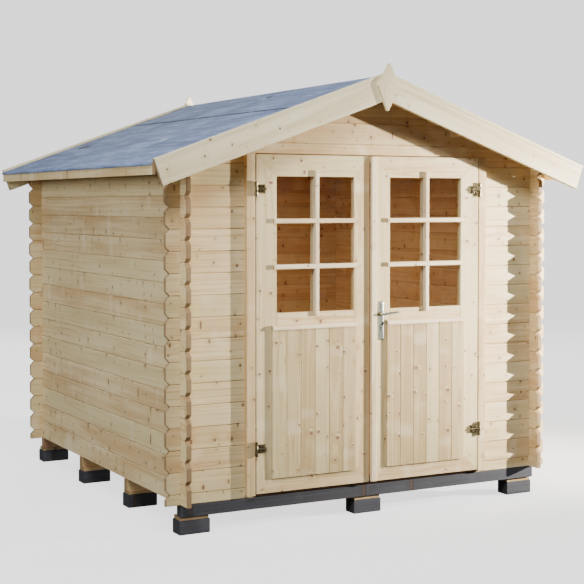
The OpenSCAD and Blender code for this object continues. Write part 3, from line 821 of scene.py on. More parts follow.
def onePlank(seed, plane, face, x0, x1, z0, z1, ends, notches, **cuts):
    timber = Timber(wall["seed"] + seed)
    plank(timber, plane, face, *plankOutline(x0, x1, z0, z1, ends, notches, **cuts))
    return timber


def crossings(low, high, foot=True, top=True):
    # the two notches of a plank that crosses the walls with outer faces at low and high
    p = wall["play"]
    return [(low - p, low + wallT + p, foot, top), (high - wallT - p, high + p, foot, top)]


def buildSideWall(name, node, face):
    course, y0, y1 = wall["course"], frontY - crossing, backY + crossing
    along, across = wall["wander"]
    count = round((underZ(rightX - wallT / 2) - footZ) / course)
    both = crossings(frontY, backY)
    second, last = footZ + course, footZ + (count - 1) * course
    foot = onePlank(0, "yz", face, y0, y1, footZ, second, (1, 1), both, cutLow=False)
    rows = onePlank(1, "yz", face, y0, y1, second, second + course, (1, 1), both)
    top = onePlank(2, "yz", face, y0, y1, last, last + course + wallT * slope, (1, 1),
                   crossings(frontY, backY, top=False), cutHigh=False)
    made = together(name, [
        foot.object(name, wallWood),
        rowOf(rows, name + "Rows", wallWood, count - 2, (0, 0, course), (across, along, 0.0),
              wall["seed"] + round(face * 10)),
        top.object(name + "Top", wallWood, roofCut=True)])
    settle(made, "house", "wood_new", node)


def buildEndWall(name, nodes, face, opening):
    # a front or rear wall with its gable; opening is half the width of a doorway or 0
    course, end = wall["course"], rightX + crossing
    along, across = wall["wander"]
    half = footZ + course / 2
    both = crossings(leftX, rightX)
    count = round((doorHeadZ - footZ) / course)
    sections = [("", -end, end, (1, 1), both, 30)]
    if opening:
        sections = [("Left", -end, -opening, (1, 0), both[:1], 10),
                    ("Right", opening, end, (0, 1), both[1:], 20)]
    parts = []
    for label, x0, x1, ends, notches, seed in sections:
        foot = onePlank(seed, "xz", face, x0, x1, footZ, half, ends,
                        [n[:2] + (False, True) for n in notches], cutLow=False)
        rows = onePlank(seed + 1, "xz", face, x0, x1, half, half + course, ends, notches)
        parts += [foot.object(name + "Foot" + label, wallWood),
                  rowOf(rows, name + "Rows" + label, wallWood, count - 1, (0, 0, course),
                        (along, across, 0.0), wall["seed"] + seed + 2)]
    gable = Timber(wall["seed"] + 40 + (1 if opening else 0))
    z = half + (count - 1) * course          # the plank that ties the wall and the gable
    outline, steps = plankOutline(-end, end, z, z + course, (1, 1),
                                  crossings(leftX, rightX, top=False), cutHigh=False)
    if opening:
        at = 1 + max(i for i, p in enumerate(outline) if abs(p.y - z) < 1e-6 and p.x < 0)
        outline[at:at] = [Vector((-opening, z)), Vector((-opening, doorHeadZ)),
                          Vector((opening, doorHeadZ)), Vector((opening, z))]
        steps[at:at] = [wall["notchEase"]] * 3 + [wall["chamfer"]]
    plank(gable, "xz", face, outline, steps, wall["gableTone"])
    z += course
    while z < ridgeZ - 0.01:
        top = ridgeZ + 0.001 if z + course > ridgeZ - 0.01 else z + course
        reach = min(rightX, (ridgeZ - z) / slope + 0.02)
        plank(gable, "xz", face, *plankOutline(-reach, reach, z, top, (0, 0), []),
              tone=wall["gableTone"])
        z = top
    parts.append(gable.object(name + "Gable", wallWood, roofCut=True))
    settle(together(name, parts), "house", "wood_new", *nodes)


buildSideWall("leftPlanks", "left_wall", leftX)
buildSideWall("rightPlanks", "right_wall", rightX - wallT)
buildEndWall("frontPlanks", ("front_wall_left", "front_wall_right", "front_gable"), frontY,
             wallEndX)
buildEndWall("rearPlanks", ("rear_wall", "rear_gable"), backY - wallT, 0)
print("walls built")


# foundation and floor

footing = {
    "block": (0.175, 0.092),  # length and depth of a block
    "blockEase": 0.003, "packingEase": 0.0012,
    "beamEase": 0.002,      # least easing of a beam's edges
    "wear": 0.0022,         # how much the beams' edges vary
    "slices": 44,           # lengths in which the wear changes
    "boardCount": 25,       # floor boards across the house
    "boardEase": 0.0012,
    "seed": 61,
}


def wornBeam(timber, low, high, wear, seed):
    # a beam along X whose edges are rubbed here more, there less
    ease, slices = footing["beamEase"], footing["slices"]
    levels = [low.x, low.x + ease, *[low.x + (high.x - low.x) * i / slices
                                     for i in range(1, slices)], high.x - ease, high.x]
    stations = []
    for x in levels:
        rubbed = drift(x * 7.0, seed, 0.0) + 0.5 * drift(x * 31.0, seed, 4.0)
        shape = eased(rectangle(low.y, high.y, low.z, high.z),
                      ease + wear * max(0.0, 0.5 + rubbed))
        if x in (levels[0], levels[-1]):
            shape = inset(shape, [ease] * len(shape))
        stations.append((x, shape))
    timber.loft(stations, "yz", ex)


def buildFoundation():
    seed, wear = footing["seed"], footing["wear"]
    beamFront, beamBack = span("front_beam", 1)
    beamD = beamBack - beamFront
    for k, name, node, finish, slot, pattern in (
            (0, "frontBeam", "front_beam", darkWood, "wood_dark", 1.3),
            (1, "rearBeam", "rear_beam", beamWood, "wood_end", 5.1)):
        beam = Timber(seed + k)
        wornBeam(beam, *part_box(node), wear, pattern)
        settle(beam.object(name, finish), "house", slot, node)
    low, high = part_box("floor_bearers")
    bearers = Timber(seed + 2)
    bearerYs = [low.y, high.y - beamD]
    for y, pattern in zip(bearerYs, (9.7, 10.7)):
        wornBeam(bearers, Vector((low.x, y, low.z)), Vector((high.x, y + beamD, high.z)),
                 wear * 0.5, pattern)
    settle(bearers.object("floorBearers", roofWood), "house", "wood_new", "floor_bearers")

    # blocks under the beams, each with a thin packing board on it
    low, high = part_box("foundation_blocks")
    packLow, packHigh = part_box("packing_boards")
    margin = packLow.x - low.x
    blockW, blockD = footing["block"]
    ys = [low.y] + [y + (beamD - blockD) / 2 for y in bearerYs] + [high.y - blockD]
    xs = [low.x, -blockW / 2, high.x - blockW]
    blocks, packing = Timber(seed + 3), Timber(seed + 4)
    for y in ys:
        for x in xs:
            blocks.block(Vector((x, y, low.z)), Vector((x + blockW, y + blockD, high.z)), ex,
                         footing["blockEase"])
            packing.block(Vector((x + margin, y + margin, packLow.z)),
                          Vector((x + blockW - margin, y + blockD - margin, packHigh.z)),
                          ex, footing["packingEase"])
    settle(blocks.object("foundationBlocks", darkWood), "house", "wood_dark",
           "foundation_blocks")
    settle(packing.object("packingBoards", roofWood), "house", "wood_new", "packing_boards")

    low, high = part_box("floor_boards")
    step, v = (high.x - low.x) / footing["boardCount"], footing["boardEase"]
    boards = Timber(seed + 5)
    boards.board(rectangle(low.x, low.x + step, low.y, high.y), low.z, high.z, "xy", ey,
                 steps=[0.0008, v, 0.0008, v], rings=[(0.0, 0.3), (v, 0.0)])
    row = rowOf(boards, "floorBoards", roofWood, footing["boardCount"], (step, 0, 0),
                (0.0, 0.0008, 0.0), seed + 6)
    settle(row, "house", "wood_new", "floor_boards")


buildFoundation()
print("foundation built")


# roof

roof = {
    "boardCount": 27,       # boards in one slope
    "boardV": 0.0022,       # chamfer on the boards' lower edges
    "boardGap": 0.0006,
    "ridgeGap": 0.0008,     # half of the gap between the slopes' boards
    "beamEase": 0.0018,
    "seed": 131,
}
feltStrip = {
    "thick": 0.0020,
    "lapAt": 0.523,         # lower edge of the upper strip, measured down the slope
    "lapSkew": 0.029,       # how far the upper strip runs askew in each metre
    "lapWaves": (0.0035, 0.006),  # short and long waves in its edge
    "overlap": 0.18,        # how far the lower strip goes on under the upper one
    "ripple": 0.0016,       # height of the wrinkles
    "turn": 0.012,          # felt turned down over the fascia
    "turnWave": 0.0022,
    "cell": 0.02,           # size of the faces
}
ridgeStrip = {
    "thick": 0.0022, "cell": 0.02,
    "pressed": 0.0016,      # how far the edges are pressed down
    "edgeWave": 0.0035, "bump": 0.0007,
    "fold": (0.0022, 0.012),  # drop and half width of the flat over the ridge
    "columns": 9,           # faces on each side
}


def buildRoofBoards(side, name, node):
    step, v = (roofBackY - roofFrontY) / roof["boardCount"], roof["boardV"]
    a, b = sorted((side * roof["ridgeGap"], side * boardsEndX))
    outline = [(a, underZ(a)), (b, underZ(b)), (b, underZ(b) + boardsUp),
               (a, underZ(a) + boardsUp)]
    boards = Timber(roof["seed"] + side)
    boards.board(outline, roofFrontY, roofFrontY + step - roof["boardGap"], "xz",
                 Vector((1, 0, -side * slope)), steps=[v, 0.001, 0.0006, 0.001],
                 rings=[(0.0, 1.0), (v, 0.0)])
    row = rowOf(boards, name, roofWood, roof["boardCount"], (0, step, 0), (0.0, 0.0, 0.0),
                roof["seed"] + 4 + side)
    settle(row, "house", "wood_new", node)


def buildFelt(side, name, node):
    low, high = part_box(node)
    reach = max(abs(low.x), abs(high.x))
    lap, t = feltStrip["lapAt"] / rise, feltStrip["thick"] * rise
    start, length = lap - feltStrip["overlap"], roofBackY - roofFrontY
    rows = round(length / feltStrip["cell"])
    seed = 3.0 if side < 0 else 11.0
    mesh = bmesh.new()
    dirt = mesh.verts.layers.float.new("dirt")

    def ripple(x, y):
        # long low wrinkles along the strip and a few short ones
        return feltStrip["ripple"] * max(0.0, 0.55 + 0.6 * drift(x * 16.0, y * 2.1, seed)
                                         + 0.5 * drift(x * 5.0, y * 1.1, seed + 7)
                                         + 0.3 * drift(x * 46.0, y * 9.0, seed + 3))

    def lapEdge(y):
        # the upper strip was laid a little askew and its edge waves
        short, long = feltStrip["lapWaves"]
        return (lap + feltStrip["lapSkew"] * (1.0 - (y - roofFrontY))
                + short * drift(y * 6.0, seed, 1.0) + long * drift(y * 1.3, seed, 9.0))

    def strip(across, lift, turned, rim):
        # a closed strip; rim is how many of its last points are at a cut edge
        upper, lower = [], []
        for j in range(rows + 1):
            y = roofFrontY + length * j / rows
            line, below = [], []
            xs = across(y)
            for i, x in enumerate(xs):
                z = underZ(x) + boardsUp + lift(x)
                bump = ripple(x, y) if 0 < j < rows else 0.0
                line.append(mesh.verts.new((side * x, y, z + t + bump)))
                below.append(mesh.verts.new((side * x, y, z)))
                # the rear end's top is darkened, more in places, less in others
                if j == rows:
                    line[-1][dirt] = min(1.0, max(0.0, 0.5 + 1.8 * drift(x * 11.0, seed, 8.0)))
                if i >= len(xs) - rim:
                    # the cut edge is black, in places more, in places less: partly the bitumen of
                    # the cut, partly painted shade along the lap's step
                    black = 0.85 + 1.0 * drift(y * 14.0, seed, 5.0)
                    line[-1][dirt] = below[-1][dirt] = min(1.0, max(0.25, black))
            if turned:
                # the eave edge is bent down over the fascia
                wave = feltStrip["turnWave"] * drift(y * 5.0, seed, 2.0)
                for drop, out in ((0.003, 0.0), (feltStrip["turn"] + wave, -0.0006)):
                    foot = underZ(reach) + boardsUp + t - drop
                    line.append(mesh.verts.new((side * (reach + out), y, foot)))
                    below.append(mesh.verts.new((side * (reach + out - 0.0022), y,
                                                 foot - 0.0004)))
            upper.append(line)
            lower.append(below)
        closeSheet(mesh, upper, lower)

    lowCount, highCount = [round(width / feltStrip["cell"]) for width in (reach - start, lap)]
    strip(lambda y: [start + (reach - 0.001 - start) * k / lowCount
                     for k in range(lowCount + 1)], lambda x: 0.0, True, 0)
    # the upper strip rises over the lower one's edge
    strip(lambda y: [0.002 + (lapEdge(y) - 0.015) * k / highCount
                     for k in range(highCount + 1)] + [lapEdge(y) - 0.009, lapEdge(y)],
          lambda x: t * min(1.0, max(0.0, (x - start + 0.03) / 0.03)) + 0.0003, False, 2)
    settle(placed(name, meshData(mesh, name, smooth=True), felt), "house", "roof_felt", node)


def buildRidgeStrip():
    low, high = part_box("ridge_felt")
    top = high.z - 0.0006
    columns, wave = ridgeStrip["columns"], ridgeStrip["edgeWave"]
    drop, wide = ridgeStrip["fold"]
    mesh = bmesh.new()
    upper, lower = [], []
    count = round((high.y - low.y) / ridgeStrip["cell"])
    for j in range(count + 1):
        y = low.y + (high.y - low.y) * j / count
        edges = {-columns: wave * drift(y * 3.1, 0.3, 1.0),
                 columns: wave * drift(y * 2.7, 5.3, 1.0)}
        line, below = [], []
        for k in range(-columns, columns + 1):
            share = k / columns
            x = share * (high.x - 0.004) + edges.get(k, 0.0)
            fold = drop * math.exp(-(x / wide) ** 2)
            bump = ridgeStrip["bump"] * (0.5 + drift(x * 20.0, y * 4.0, 2.0))
            press = max(0.0, (abs(share) - 0.55) / 0.45) ** 1.5 * ridgeStrip["pressed"]
            z = top - abs(x) * slope - fold - press
            line.append(mesh.verts.new((x, y, z - 0.0007 + bump)))
            below.append(mesh.verts.new((x, y, z - 0.0009 - ridgeStrip["thick"])))
        upper.append(line)
        lower.append(below)
    closeSheet(mesh, upper, lower)
    settle(placed("ridgeStrip", meshData(mesh, "ridgeStrip", smooth=True), felt), "house",
           "roof_felt", "ridge_felt")


def roofBeam(timber, outline, y0, y1):
    # a length along Y with all its edges eased
    ease = roof["beamEase"]
    shape = eased(outline, ease)
    small = inset(shape, [ease] * len(shape))
    timber.loft([(y0, small), (y0 + ease, shape), (y1 - ease, shape), (y1, small)], "xz", ey)


def buildRoofTimber():
    ridge = Timber(roof["seed"] + 10)
    low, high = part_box("ridge_beam")
    width = high.x * 2
    roofBeam(ridge, [(low.x, low.z), (high.x, low.z), (high.x, underZ(high.x)), (0, ridgeZ),
                     (low.x, underZ(low.x))], low.y, high.y)
    settle(ridge.object("ridgeBeam", roofWood), "house", "wood_new", "ridge_beam")
    # pairs whose upper side follows the roof, up over the boards or under them
    purlinX = span("purlins", 0)[1]
    for name, node, x0, x1, up, finish, seed in (
            ("purlinBeams", "purlins", purlinX, purlinX - width, 0.0, roofWood, 11),
            ("fasciaPlanks", "fascia_boards", eaveX, boardsEndX, boardsUp, fasciaWood, 12)):
        low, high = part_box(node)
        pair = Timber(roof["seed"] + seed)
        for side in (-1, 1):
            a, b = sorted((side * x0, side * x1))
            roofBeam(pair, [(a, low.z), (b, low.z), (b, underZ(b) + up), (a, underZ(a) + up)],
                     low.y, high.y)
        settle(pair.object(name, finish), "house", "wood_new", node)


barge = {
    "ease": 0.0016,
    "meet": 0.0003,         # half of the gap between two boards at the peak
    "strip": (0.018, 0.0014),  # raised strip along a board's top: width, thickness
    "stripEase": 0.0008,
    "stripStart": 0.047,    # the strips begin beside the finial
    "stripDown": 0.0008,    # below the board's top
}
finial = {
    "thick": 0.018, "sunk": 0.0009,
    "widest": 0.131,        # height of the side corners over the lower tip
    "tip": 0.005,           # half width of both tips
    "bevel": 0.002, "backBevel": 0.0008,
    "lean": 2.9,            # degrees
    "shrink": 0.996,        # keeps the leaning corners inside
}


def buildBargeboards(name, node, out):
    # out is the way the boards face along Y
    low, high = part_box(node)
    peak, y0, y1 = high.z, low.y, high.y
    inner, start, down = barge["meet"], barge["stripStart"], barge["stripDown"]
    stripW, stripT = barge["strip"]
    boards = Timber(roof["seed"] + (20 if out < 0 else 30))
    tipZ = peak - (eaveX - inner) * slope
    run, fall = 1 / rise, slope / rise        # cosine and sine of the slope
    width = (tipZ - low.z) * rise
    for side in (-1, 1):
        along, off = Vector((run, 0, -side * fall)), Vector((-side * fall, -run))
        outer = Vector((side * eaveX, tipZ))
        shape = [outer, outer + off * width,
                 Vector((side * inner, peak - inner * slope - width * rise)),
                 Vector((side * inner, peak - inner * slope))]
        boards.board(shape if side < 0 else shape[::-1], y0, y1, "xz", along, barge["ease"],
                     tone=None if out < 0 else -0.8)
        a = Vector((side * start, peak - start * slope - down))
        b = outer + Vector((-side * 0.001, -down))
        if side > 0:
            a, b = b, a
        ya, yb = (y0 - stripT, y0 + 0.0002) if out < 0 else (y1 - 0.0002, y1 + stripT)
        boards.board([a, b, b + off * stripW, a + off * stripW], ya, yb, "xz", along,
                     barge["stripEase"], tone=-0.9)
    settle(boards.object(name, bargeWood), "house", "wood_new", node)


def buildFinials():
    low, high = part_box("finials")
    t, sunk, tip, wide = finial["thick"], finial["sunk"], finial["tip"], high.x
    middle = low.z + finial["widest"]
    lean, shrink = math.radians(finial["lean"]), finial["shrink"]
    flat = []
    for x, z in ((-wide, middle), (-tip, low.z), (tip, low.z), (wide, middle),
                 (tip, high.z), (-tip, high.z)):
        x, z = x * shrink, (z - middle) * shrink
        flat.append(Vector((x * math.cos(lean) + z * math.sin(lean),
                            middle + z * math.cos(lean) - x * math.sin(lean))))
    made = Timber(roof["seed"] + 40)
    bevels = finial["bevel"], finial["backBevel"]
    for y0, y1, (one, two) in ((low.y + sunk, low.y + t, bevels),
                               (high.y - t, high.y - sunk, bevels[::-1])):
        made.loft([(y0, inset(flat, [one] * 6)), (y0 + one, flat), (y1 - two, flat),
                   (y1, inset(flat, [two] * 6))], "xz", ez, tone=-0.6)
    settle(made.object("finialDiamonds", bargeWood), "house", "wood_new", "finials")


for side, name in ((-1, "Left"), (1, "Right")):
    buildRoofBoards(side, "roofBoards" + name, "roof_boards_" + name.lower())
for side, name in ((-1, "Left"), (1, "Right")):
    buildFelt(side, "felt" + name, "roof_felt_" + name.lower())
buildRidgeStrip()
buildRoofTimber()
buildBargeboards("frontBargeBoards", "front_bargeboards", -1)
buildBargeboards("rearBargeBoards", "rear_bargeboards", 1)
buildFinials()
print("roof built")


# heads for nails and screws, kept out of the scene

ahead = (0.0, -1.0, 0.0)    # the way that heads on the front face


def domeHead(name, rings, recess):
    # rings are (radius, height) pairs; a recess pinches the top down to a cross
    mesh = bmesh.new()
    count = 10
    loops = [[mesh.verts.new((r * math.cos(2 * math.pi * k / count),
                              r * math.sin(2 * math.pi * k / count), z))
              for k in range(count)] for r, z in rings]
    if recess:
        loops.append([mesh.verts.new((0, 0, rings[-1][1] - recess))])
    skin(mesh, loops)
    return bpy.data.objects.new(name, meshData(mesh, name))


nailHead = domeHead("nailHeadShape", ((0.9, -0.6), (1.0, 0.0), (0.92, 0.16), (0.55, 0.28)), 0)
screwHead = domeHead("screwHeadShape", ((0.9, -0.6), (1.0, 0.0), (0.88, 0.34), (0.42, 0.5)),
                     0.32)


def setHeads(name, spots, head, size, finish, body, seed=7):
    # spots are pairs of a place and the way the head faces
    data = bpy.data.meshes.new(name)
    data.from_pydata([s[0] for s in spots], [], [])
    facing = data.attributes.new("facing", "FLOAT_VECTOR", "POINT")
    facing.data.foreach_set("vector", [c for s in spots for c in s[1]])
    made = grown(placed(name, data, None), fixings,
                 {"Head": head, "Size": size, "Seed": seed, "Finish": finish})
    settle(made, body, "steel")


# door frame and leaves

doorFrame = {
    "ease": 0.0022, "endEase": 0.001,
    "play": 0.0004,         # of the planks in a post's groove
    "shoulder": 0.012,      # the proud part of a post begins this far over the walls' foot
    "stopWidth": 0.016, "stopEase": 0.0015, "boardEase": 0.002,
}
leaf = {
    "ease": 0.0010,         # long edges of stiles and rails
    "joint": 0.0002,        # gap between a rail and a stile
    "rebate": 0.0025,       # how far back the left leaf's rebate lies
    "rebateOut": 0.0032,    # and how far it stands out from the leaf's edge
    "paneLap": 0.008,       # how deep the pane sits in its groove
    "bottomRail": 0.110, "lockRail": 0.120,
    "bar": 0.0245, "barOut": 0.016, "barV": 0.0042, "barIn": 0.008,  # glazing bars
    "barLap": (0.022, 0.021, 0.033),    # past the opening at the sides, foot and top
    "barLevels": (0.338, 0.674),        # share of the pane's height
    "boards": 6, "boardV": 0.0023, "boardGap": 0.12,
    "drip": (0.0125, 0.011, 0.0015),    # height of the moulding's round, its lip, its step
    "barNail": 0.0029, "panelNail": 0.0015,
    "seed": 301,
}


def buildDoorFrame():
    ease, play = doorFrame["ease"], doorFrame["play"]
    for side, name, node in ((-1, "postLeft", "door_post_left"),
                             (1, "postRight", "door_post_right")):
        low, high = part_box(node)
        post = Timber(leaf["seed"] + side)
        post.block(Vector((low.x, low.y, footZ + doorFrame["shoulder"])),
                   Vector((high.x, frontY - 0.0001, high.z)), ez, ease)
        # behind it the part that takes the planks in its groove
        web, shelf = wallEndX - play, frontY + wallT + play
        shape = [(postInX, frontY + 0.0001), (web, frontY + 0.0001), (web, shelf),
                 (postOutX, shelf), (postOutX, postBackY), (postInX, postBackY)]
        if side < 0:
            shape = [(-x, y) for x, y in reversed(shape)]
        post.board(eased(shape, ease), low.z, high.z, "xy", ez, doorFrame["endEase"])
        settle(post.object(name, leafWood), "house", "wood_new", node)
    stops = Timber(leaf["seed"] + 3)
    low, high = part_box("door_stops")
    width = doorFrame["stopWidth"]
    for x in (low.x, high.x - width):
        stops.block(Vector((x, low.y, low.z)), Vector((x + width, high.y, high.z)), ez,
                    doorFrame["stopEase"])
    settle(stops.object("stopBattens", leafWood), "house", "wood_new", "door_stops")
    for name, node, finish, slot, seed in (
            ("headBoard", "door_head", leafWood, "wood_new", 9),
            ("thresholdBoard", "door_threshold", beamWood, "wood_end", 14)):
        made = Timber(leaf["seed"] + seed)
        made.block(*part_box(node), ex, doorFrame["boardEase"])
        settle(made.object(name, finish), "house", slot, node)


def buildLeaf(side, body):
    # every board of one leaf, laid out as the right leaf and mirrored for the left
    low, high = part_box(body + "_stiles")
    near, far = sorted((abs(low.x), abs(high.x)))      # near is the meeting edge
    y0, y1, z0, z1 = low.y, high.y, low.z, high.z
    paneLow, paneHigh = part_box(body + "_glass")
    lap, joint, seed = leaf["paneLap"], leaf["joint"], leaf["seed"] + side
    paneIn, paneOut = sorted((abs(paneLow.x), abs(paneHigh.x)))
    paneIn, paneOut = paneIn + lap, paneOut - lap
    paneFoot, paneTop = paneLow.z + lap, paneHigh.z - lap
    railTop = z0 + leaf["bottomRail"]

    def flip(points):
        shape = [Vector((side * x, z)) for x, z in points]
        return shape if side > 0 else shape[::-1]

    stiles = Timber(seed + 10)
    for points in ([(near, z0), (paneIn, railTop), (paneIn, paneTop), (near, z1)],
                   [(paneOut, railTop), (far, z0), (far, z1), (paneOut, paneTop)]):
        stiles.board(flip(points), y0, y1, "xz", ez, leaf["ease"])
    if side < 0:
        # the rebate that closes most of the gap between the leaves, painted paler than the stiles
        # as light in the gap
        stiles.block(Vector((-near - 0.001, y0 + leaf["rebate"], z0 + 0.001)),
                     Vector((-near + leaf["rebateOut"], y1 - 0.006, z1 - 0.001)), ez, 0.0005,
                     tone=-0.6)
    settle(stiles.object(body + "Stiles", leafWood), body, "wood_new", body + "_stiles")

    rails = Timber(seed + 20)
    inX, outX, nearX, farX = (paneIn + joint, paneOut - joint, near + 2 * joint,
                              far - 2 * joint)
    lockFoot = paneFoot - leaf["lockRail"]
    for points in ([(inX, paneTop), (outX, paneTop), (farX, z1), (nearX, z1)],
                   [(nearX, z0), (farX, z0), (outX, railTop), (inX, railTop)],
                   rectangle(inX, outX, lockFoot, paneFoot)):
        rails.board(flip(points), y0, y1, "xz", ex, leaf["ease"])
    settle(rails.object(body + "Rails", leafWood), body, "wood_new", body + "_rails")

    # boarded panel
    panelLow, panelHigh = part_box(body + "_panel")
    step = (panelHigh.x - panelLow.x) / leaf["boards"]
    v, gap = leaf["boardV"], leaf["boardGap"]
    boards = Timber(seed + 30)
    boards.board(rectangle(panelLow.x, panelLow.x + step, panelLow.z, panelHigh.z),
                 panelLow.y, panelHigh.y, "xz", ez, steps=[0.0008, v, 0.0008, v],
                 rings=[(0.0, 1.0), (v, gap), (0.004, gap), (0.0042, 0.0)])
    row = rowOf(boards, body + "Boards", panelWood, leaf["boards"], (step, 0, 0),
                (0.0, 0.0002, 0.0), seed + 40)
    settle(row, body, "wood_new", body + "_panel")

    # weather moulding over the panel, flat behind and below, round in front
    low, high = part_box(body + "_moulding")
    bulge, lip, tread = leaf["drip"]
    section = [(low.y, low.z), (high.y, low.z), (high.y, high.z), (high.y - 0.0025, high.z)]
    section += [(low.y + tread + (high.y - 0.0035 - low.y) * (1 - math.cos(a)),
                 low.z + bulge + (high.z - low.z - bulge) * math.sin(a))
                for a in (1.2, 0.8, 0.4)]
    section.append((low.y, low.z + lip))
    moulding = Timber(seed + 50)
    moulding.board(section, low.x, high.x, "yz", ex, 0.001, tone=-0.7)
    settle(moulding.object(body + "Moulding", barWood), body, "wood_new", body + "_moulding")

    pane = Timber(leaf["seed"] + 60)
    pane.board(rectangle(paneLow.x, paneHigh.x, paneLow.z, paneHigh.z), paneLow.y, paneHigh.y,
               "xz", ex, 0.0004)
    settle(pane.object(body + "Pane", glass), body, "glass", body + "_glass")

    # glazing bars, halved into each other, lying on the frame
    bars = Timber(seed + 70)
    w, v, front = leaf["bar"] / 2, leaf["barV"], y0 - leaf["barOut"]
    sideLap, footLap, topLap = leaf["barLap"]
    middle = (paneIn + paneOut) / 2
    cross = [paneFoot + (paneTop - paneFoot) * share for share in leaf["barLevels"]]

    def lengths(foot, top, wide):
        # the upright is cut where the cross bars pass
        ends = [foot] + [z for c in cross for z in (c - wide, c + wide)] + [top]
        return zip(ends[::2], ends[1::2])

    def bar(x0, x1, foot, top, ya, yb, along, **how):
        bars.board(flip(rectangle(x0, x1, foot, top)), ya, yb, "xz", along, **how)

    rings = [(0.0, 1.0), (v * 0.7, 0.0)]
    for foot, top in lengths(paneFoot - footLap, paneTop + topLap, w):
        bar(middle - w, middle + w, foot, top, front, y0 - 0.0001, ez,
            steps=[0.0003, v, 0.0003, v], rings=rings, tone=0.1)
    for c in cross:
        bar(paneIn - sideLap, paneOut + sideLap, c - w, c + w, front, y0 - 0.0001, ex,
            steps=[v, 0.001, v, 0.001], rings=rings)
    # the bars' cores between the frame's face and the pane, and the bars behind the pane
    for ya, yb, wide in ((y0 + 0.0001, paneLow.y - 0.0002, w * 0.86),
                         (paneHigh.y + 0.0002, y1 + leaf["barIn"], w)):
        for foot, top in lengths(paneFoot, paneTop, wide):
            bar(middle - wide, middle + wide, foot, top, ya, yb, ez)
        for c in cross:
            bar(paneIn, paneOut, c - wide, c + wide, ya, yb, ex)
    settle(bars.object(body + "Bars", barWood), body, "wood_new")

    # a nail in every end and crossing of the bars, and two in each board
    ends = [(side * middle, front, z)
            for z in (paneFoot - footLap + 0.008, paneTop + topLap - 0.010, *cross)]
    ends += [(side * x, front, c) for c in cross
             for x in (paneIn - sideLap + 0.009, paneOut + sideLap - 0.009)]
    setHeads(body + "BarNails", [(p, ahead) for p in ends], nailHead, leaf["barNail"],
             nailSteel, body)
    step = (high.x - low.x) / leaf["boards"]
    setHeads(body + "PanelNails",
             [((low.x + step * (k + 0.5), panelLow.y, z), ahead)
              for k in range(leaf["boards"])
              for z in (panelLow.z + 0.014, panelHigh.z - 0.016)],
             nailHead, leaf["panelNail"], nailSteel, body, 9)


buildDoorFrame()
buildLeaf(-1, "left_leaf")
buildLeaf(1, "right_leaf")
coverStrip = Timber(leaf["seed"] + 90)
coverStrip.block(*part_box("cover_strip"), ez, 0.004, tone=-0.8)
settle(coverStrip.object("coverStrip", barWood), "right_leaf", "wood_new", "cover_strip")
print("door built")


# metal pieces

def lathe(mesh, profile, centre, axis, count=24):
    # turns (radius, height) pairs round an axis; an end of no radius closes in a point, and
    # a section that ends where it began closes on itself
    axis = Vector(axis).normalized()
    side = axis.orthogonal().normalized()
    other = axis.cross(side)
    ring = profile[0] == profile[-1]
    loops = []
    for r, h in profile[:-1] if ring else profile:
        middle = Vector(centre) + axis * h
        loops.append([mesh.verts.new(middle + (side * math.cos(2 * math.pi * k / count)
                                               + other * math.sin(2 * math.pi * k / count))
                                     * r) for k in range(count if r > 1e-6 else 1)])
    skin(mesh, loops + loops[:1] if ring else loops, caps=not ring)


def boxInto(mesh, low, high, ease):
    # a small metal block with all its edges eased
    shape = eased(rectangle(low[0], high[0], low[2], high[2]), ease)
    skin(mesh, [[mesh.verts.new((p.x, y, p.y)) for p in inset(shape, [step] * len(shape))]
                for y, step in ((low[1], ease), (low[1] + ease, 0.0), (high[1] - ease, 0.0),
                                (high[1], ease))])


def metalPiece(mesh, name, finish, body, slot, *nodes, angle=0.6):
    made = placed(name, meshData(mesh, name, smooth=True), finish)
    made.data.set_sharp_from_angle(angle=angle)
    settle(made, body, slot, *nodes)


# hinges

hinge = {
    "barrelR": 0.008, "barrelH": 0.082, "knuckleH": 0.033,
    "gap": 0.0005,          # between a knuckle and the barrel's fixed parts
    "pinR": 0.004, "boreR": 0.0046, "armR": 0.007,
    "bracketH": 0.046, "bracketW": 0.042, "bracketT": 0.005,
    "bracketGap": 0.006,    # from the barrel
    "saddle": (0.0066, 0.0195, 0.0115),  # inner and outer edge over the arm, front face
    "nut": (0.0046, 0.0032),  # radius and height
    "nutAt": 0.0132,        # above and below the arm's axis
    "nutShares": (0.27, 0.73),
}


def hexagon(mesh, centre, radius, height):
    # a nut facing forward, with chamfered corners and a bolt end in it
    x, y, z = centre
    skin(mesh, [[mesh.verts.new((x + r * math.cos(math.pi * k / 3 + 0.3), y - out,
                                 z + r * math.sin(math.pi * k / 3 + 0.3)))
                 for k in range(6)]
                for out, r in ((0.0, radius), (height * 0.8, radius), (height, radius * 0.86))])
    lathe(mesh, ((radius * 0.5, -0.001), (radius * 0.5, height + 0.0015),
                 (radius * 0.4, height + 0.0022)), centre, ahead, 12)


low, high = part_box("right_leaf_hinges")
hingeX, hingeY = high.x - hinge["barrelR"], low.y + hinge["barrelR"]
hingeLevels = [low.z + hinge["bracketH"] / 2, high.z - hinge["bracketH"] / 2]


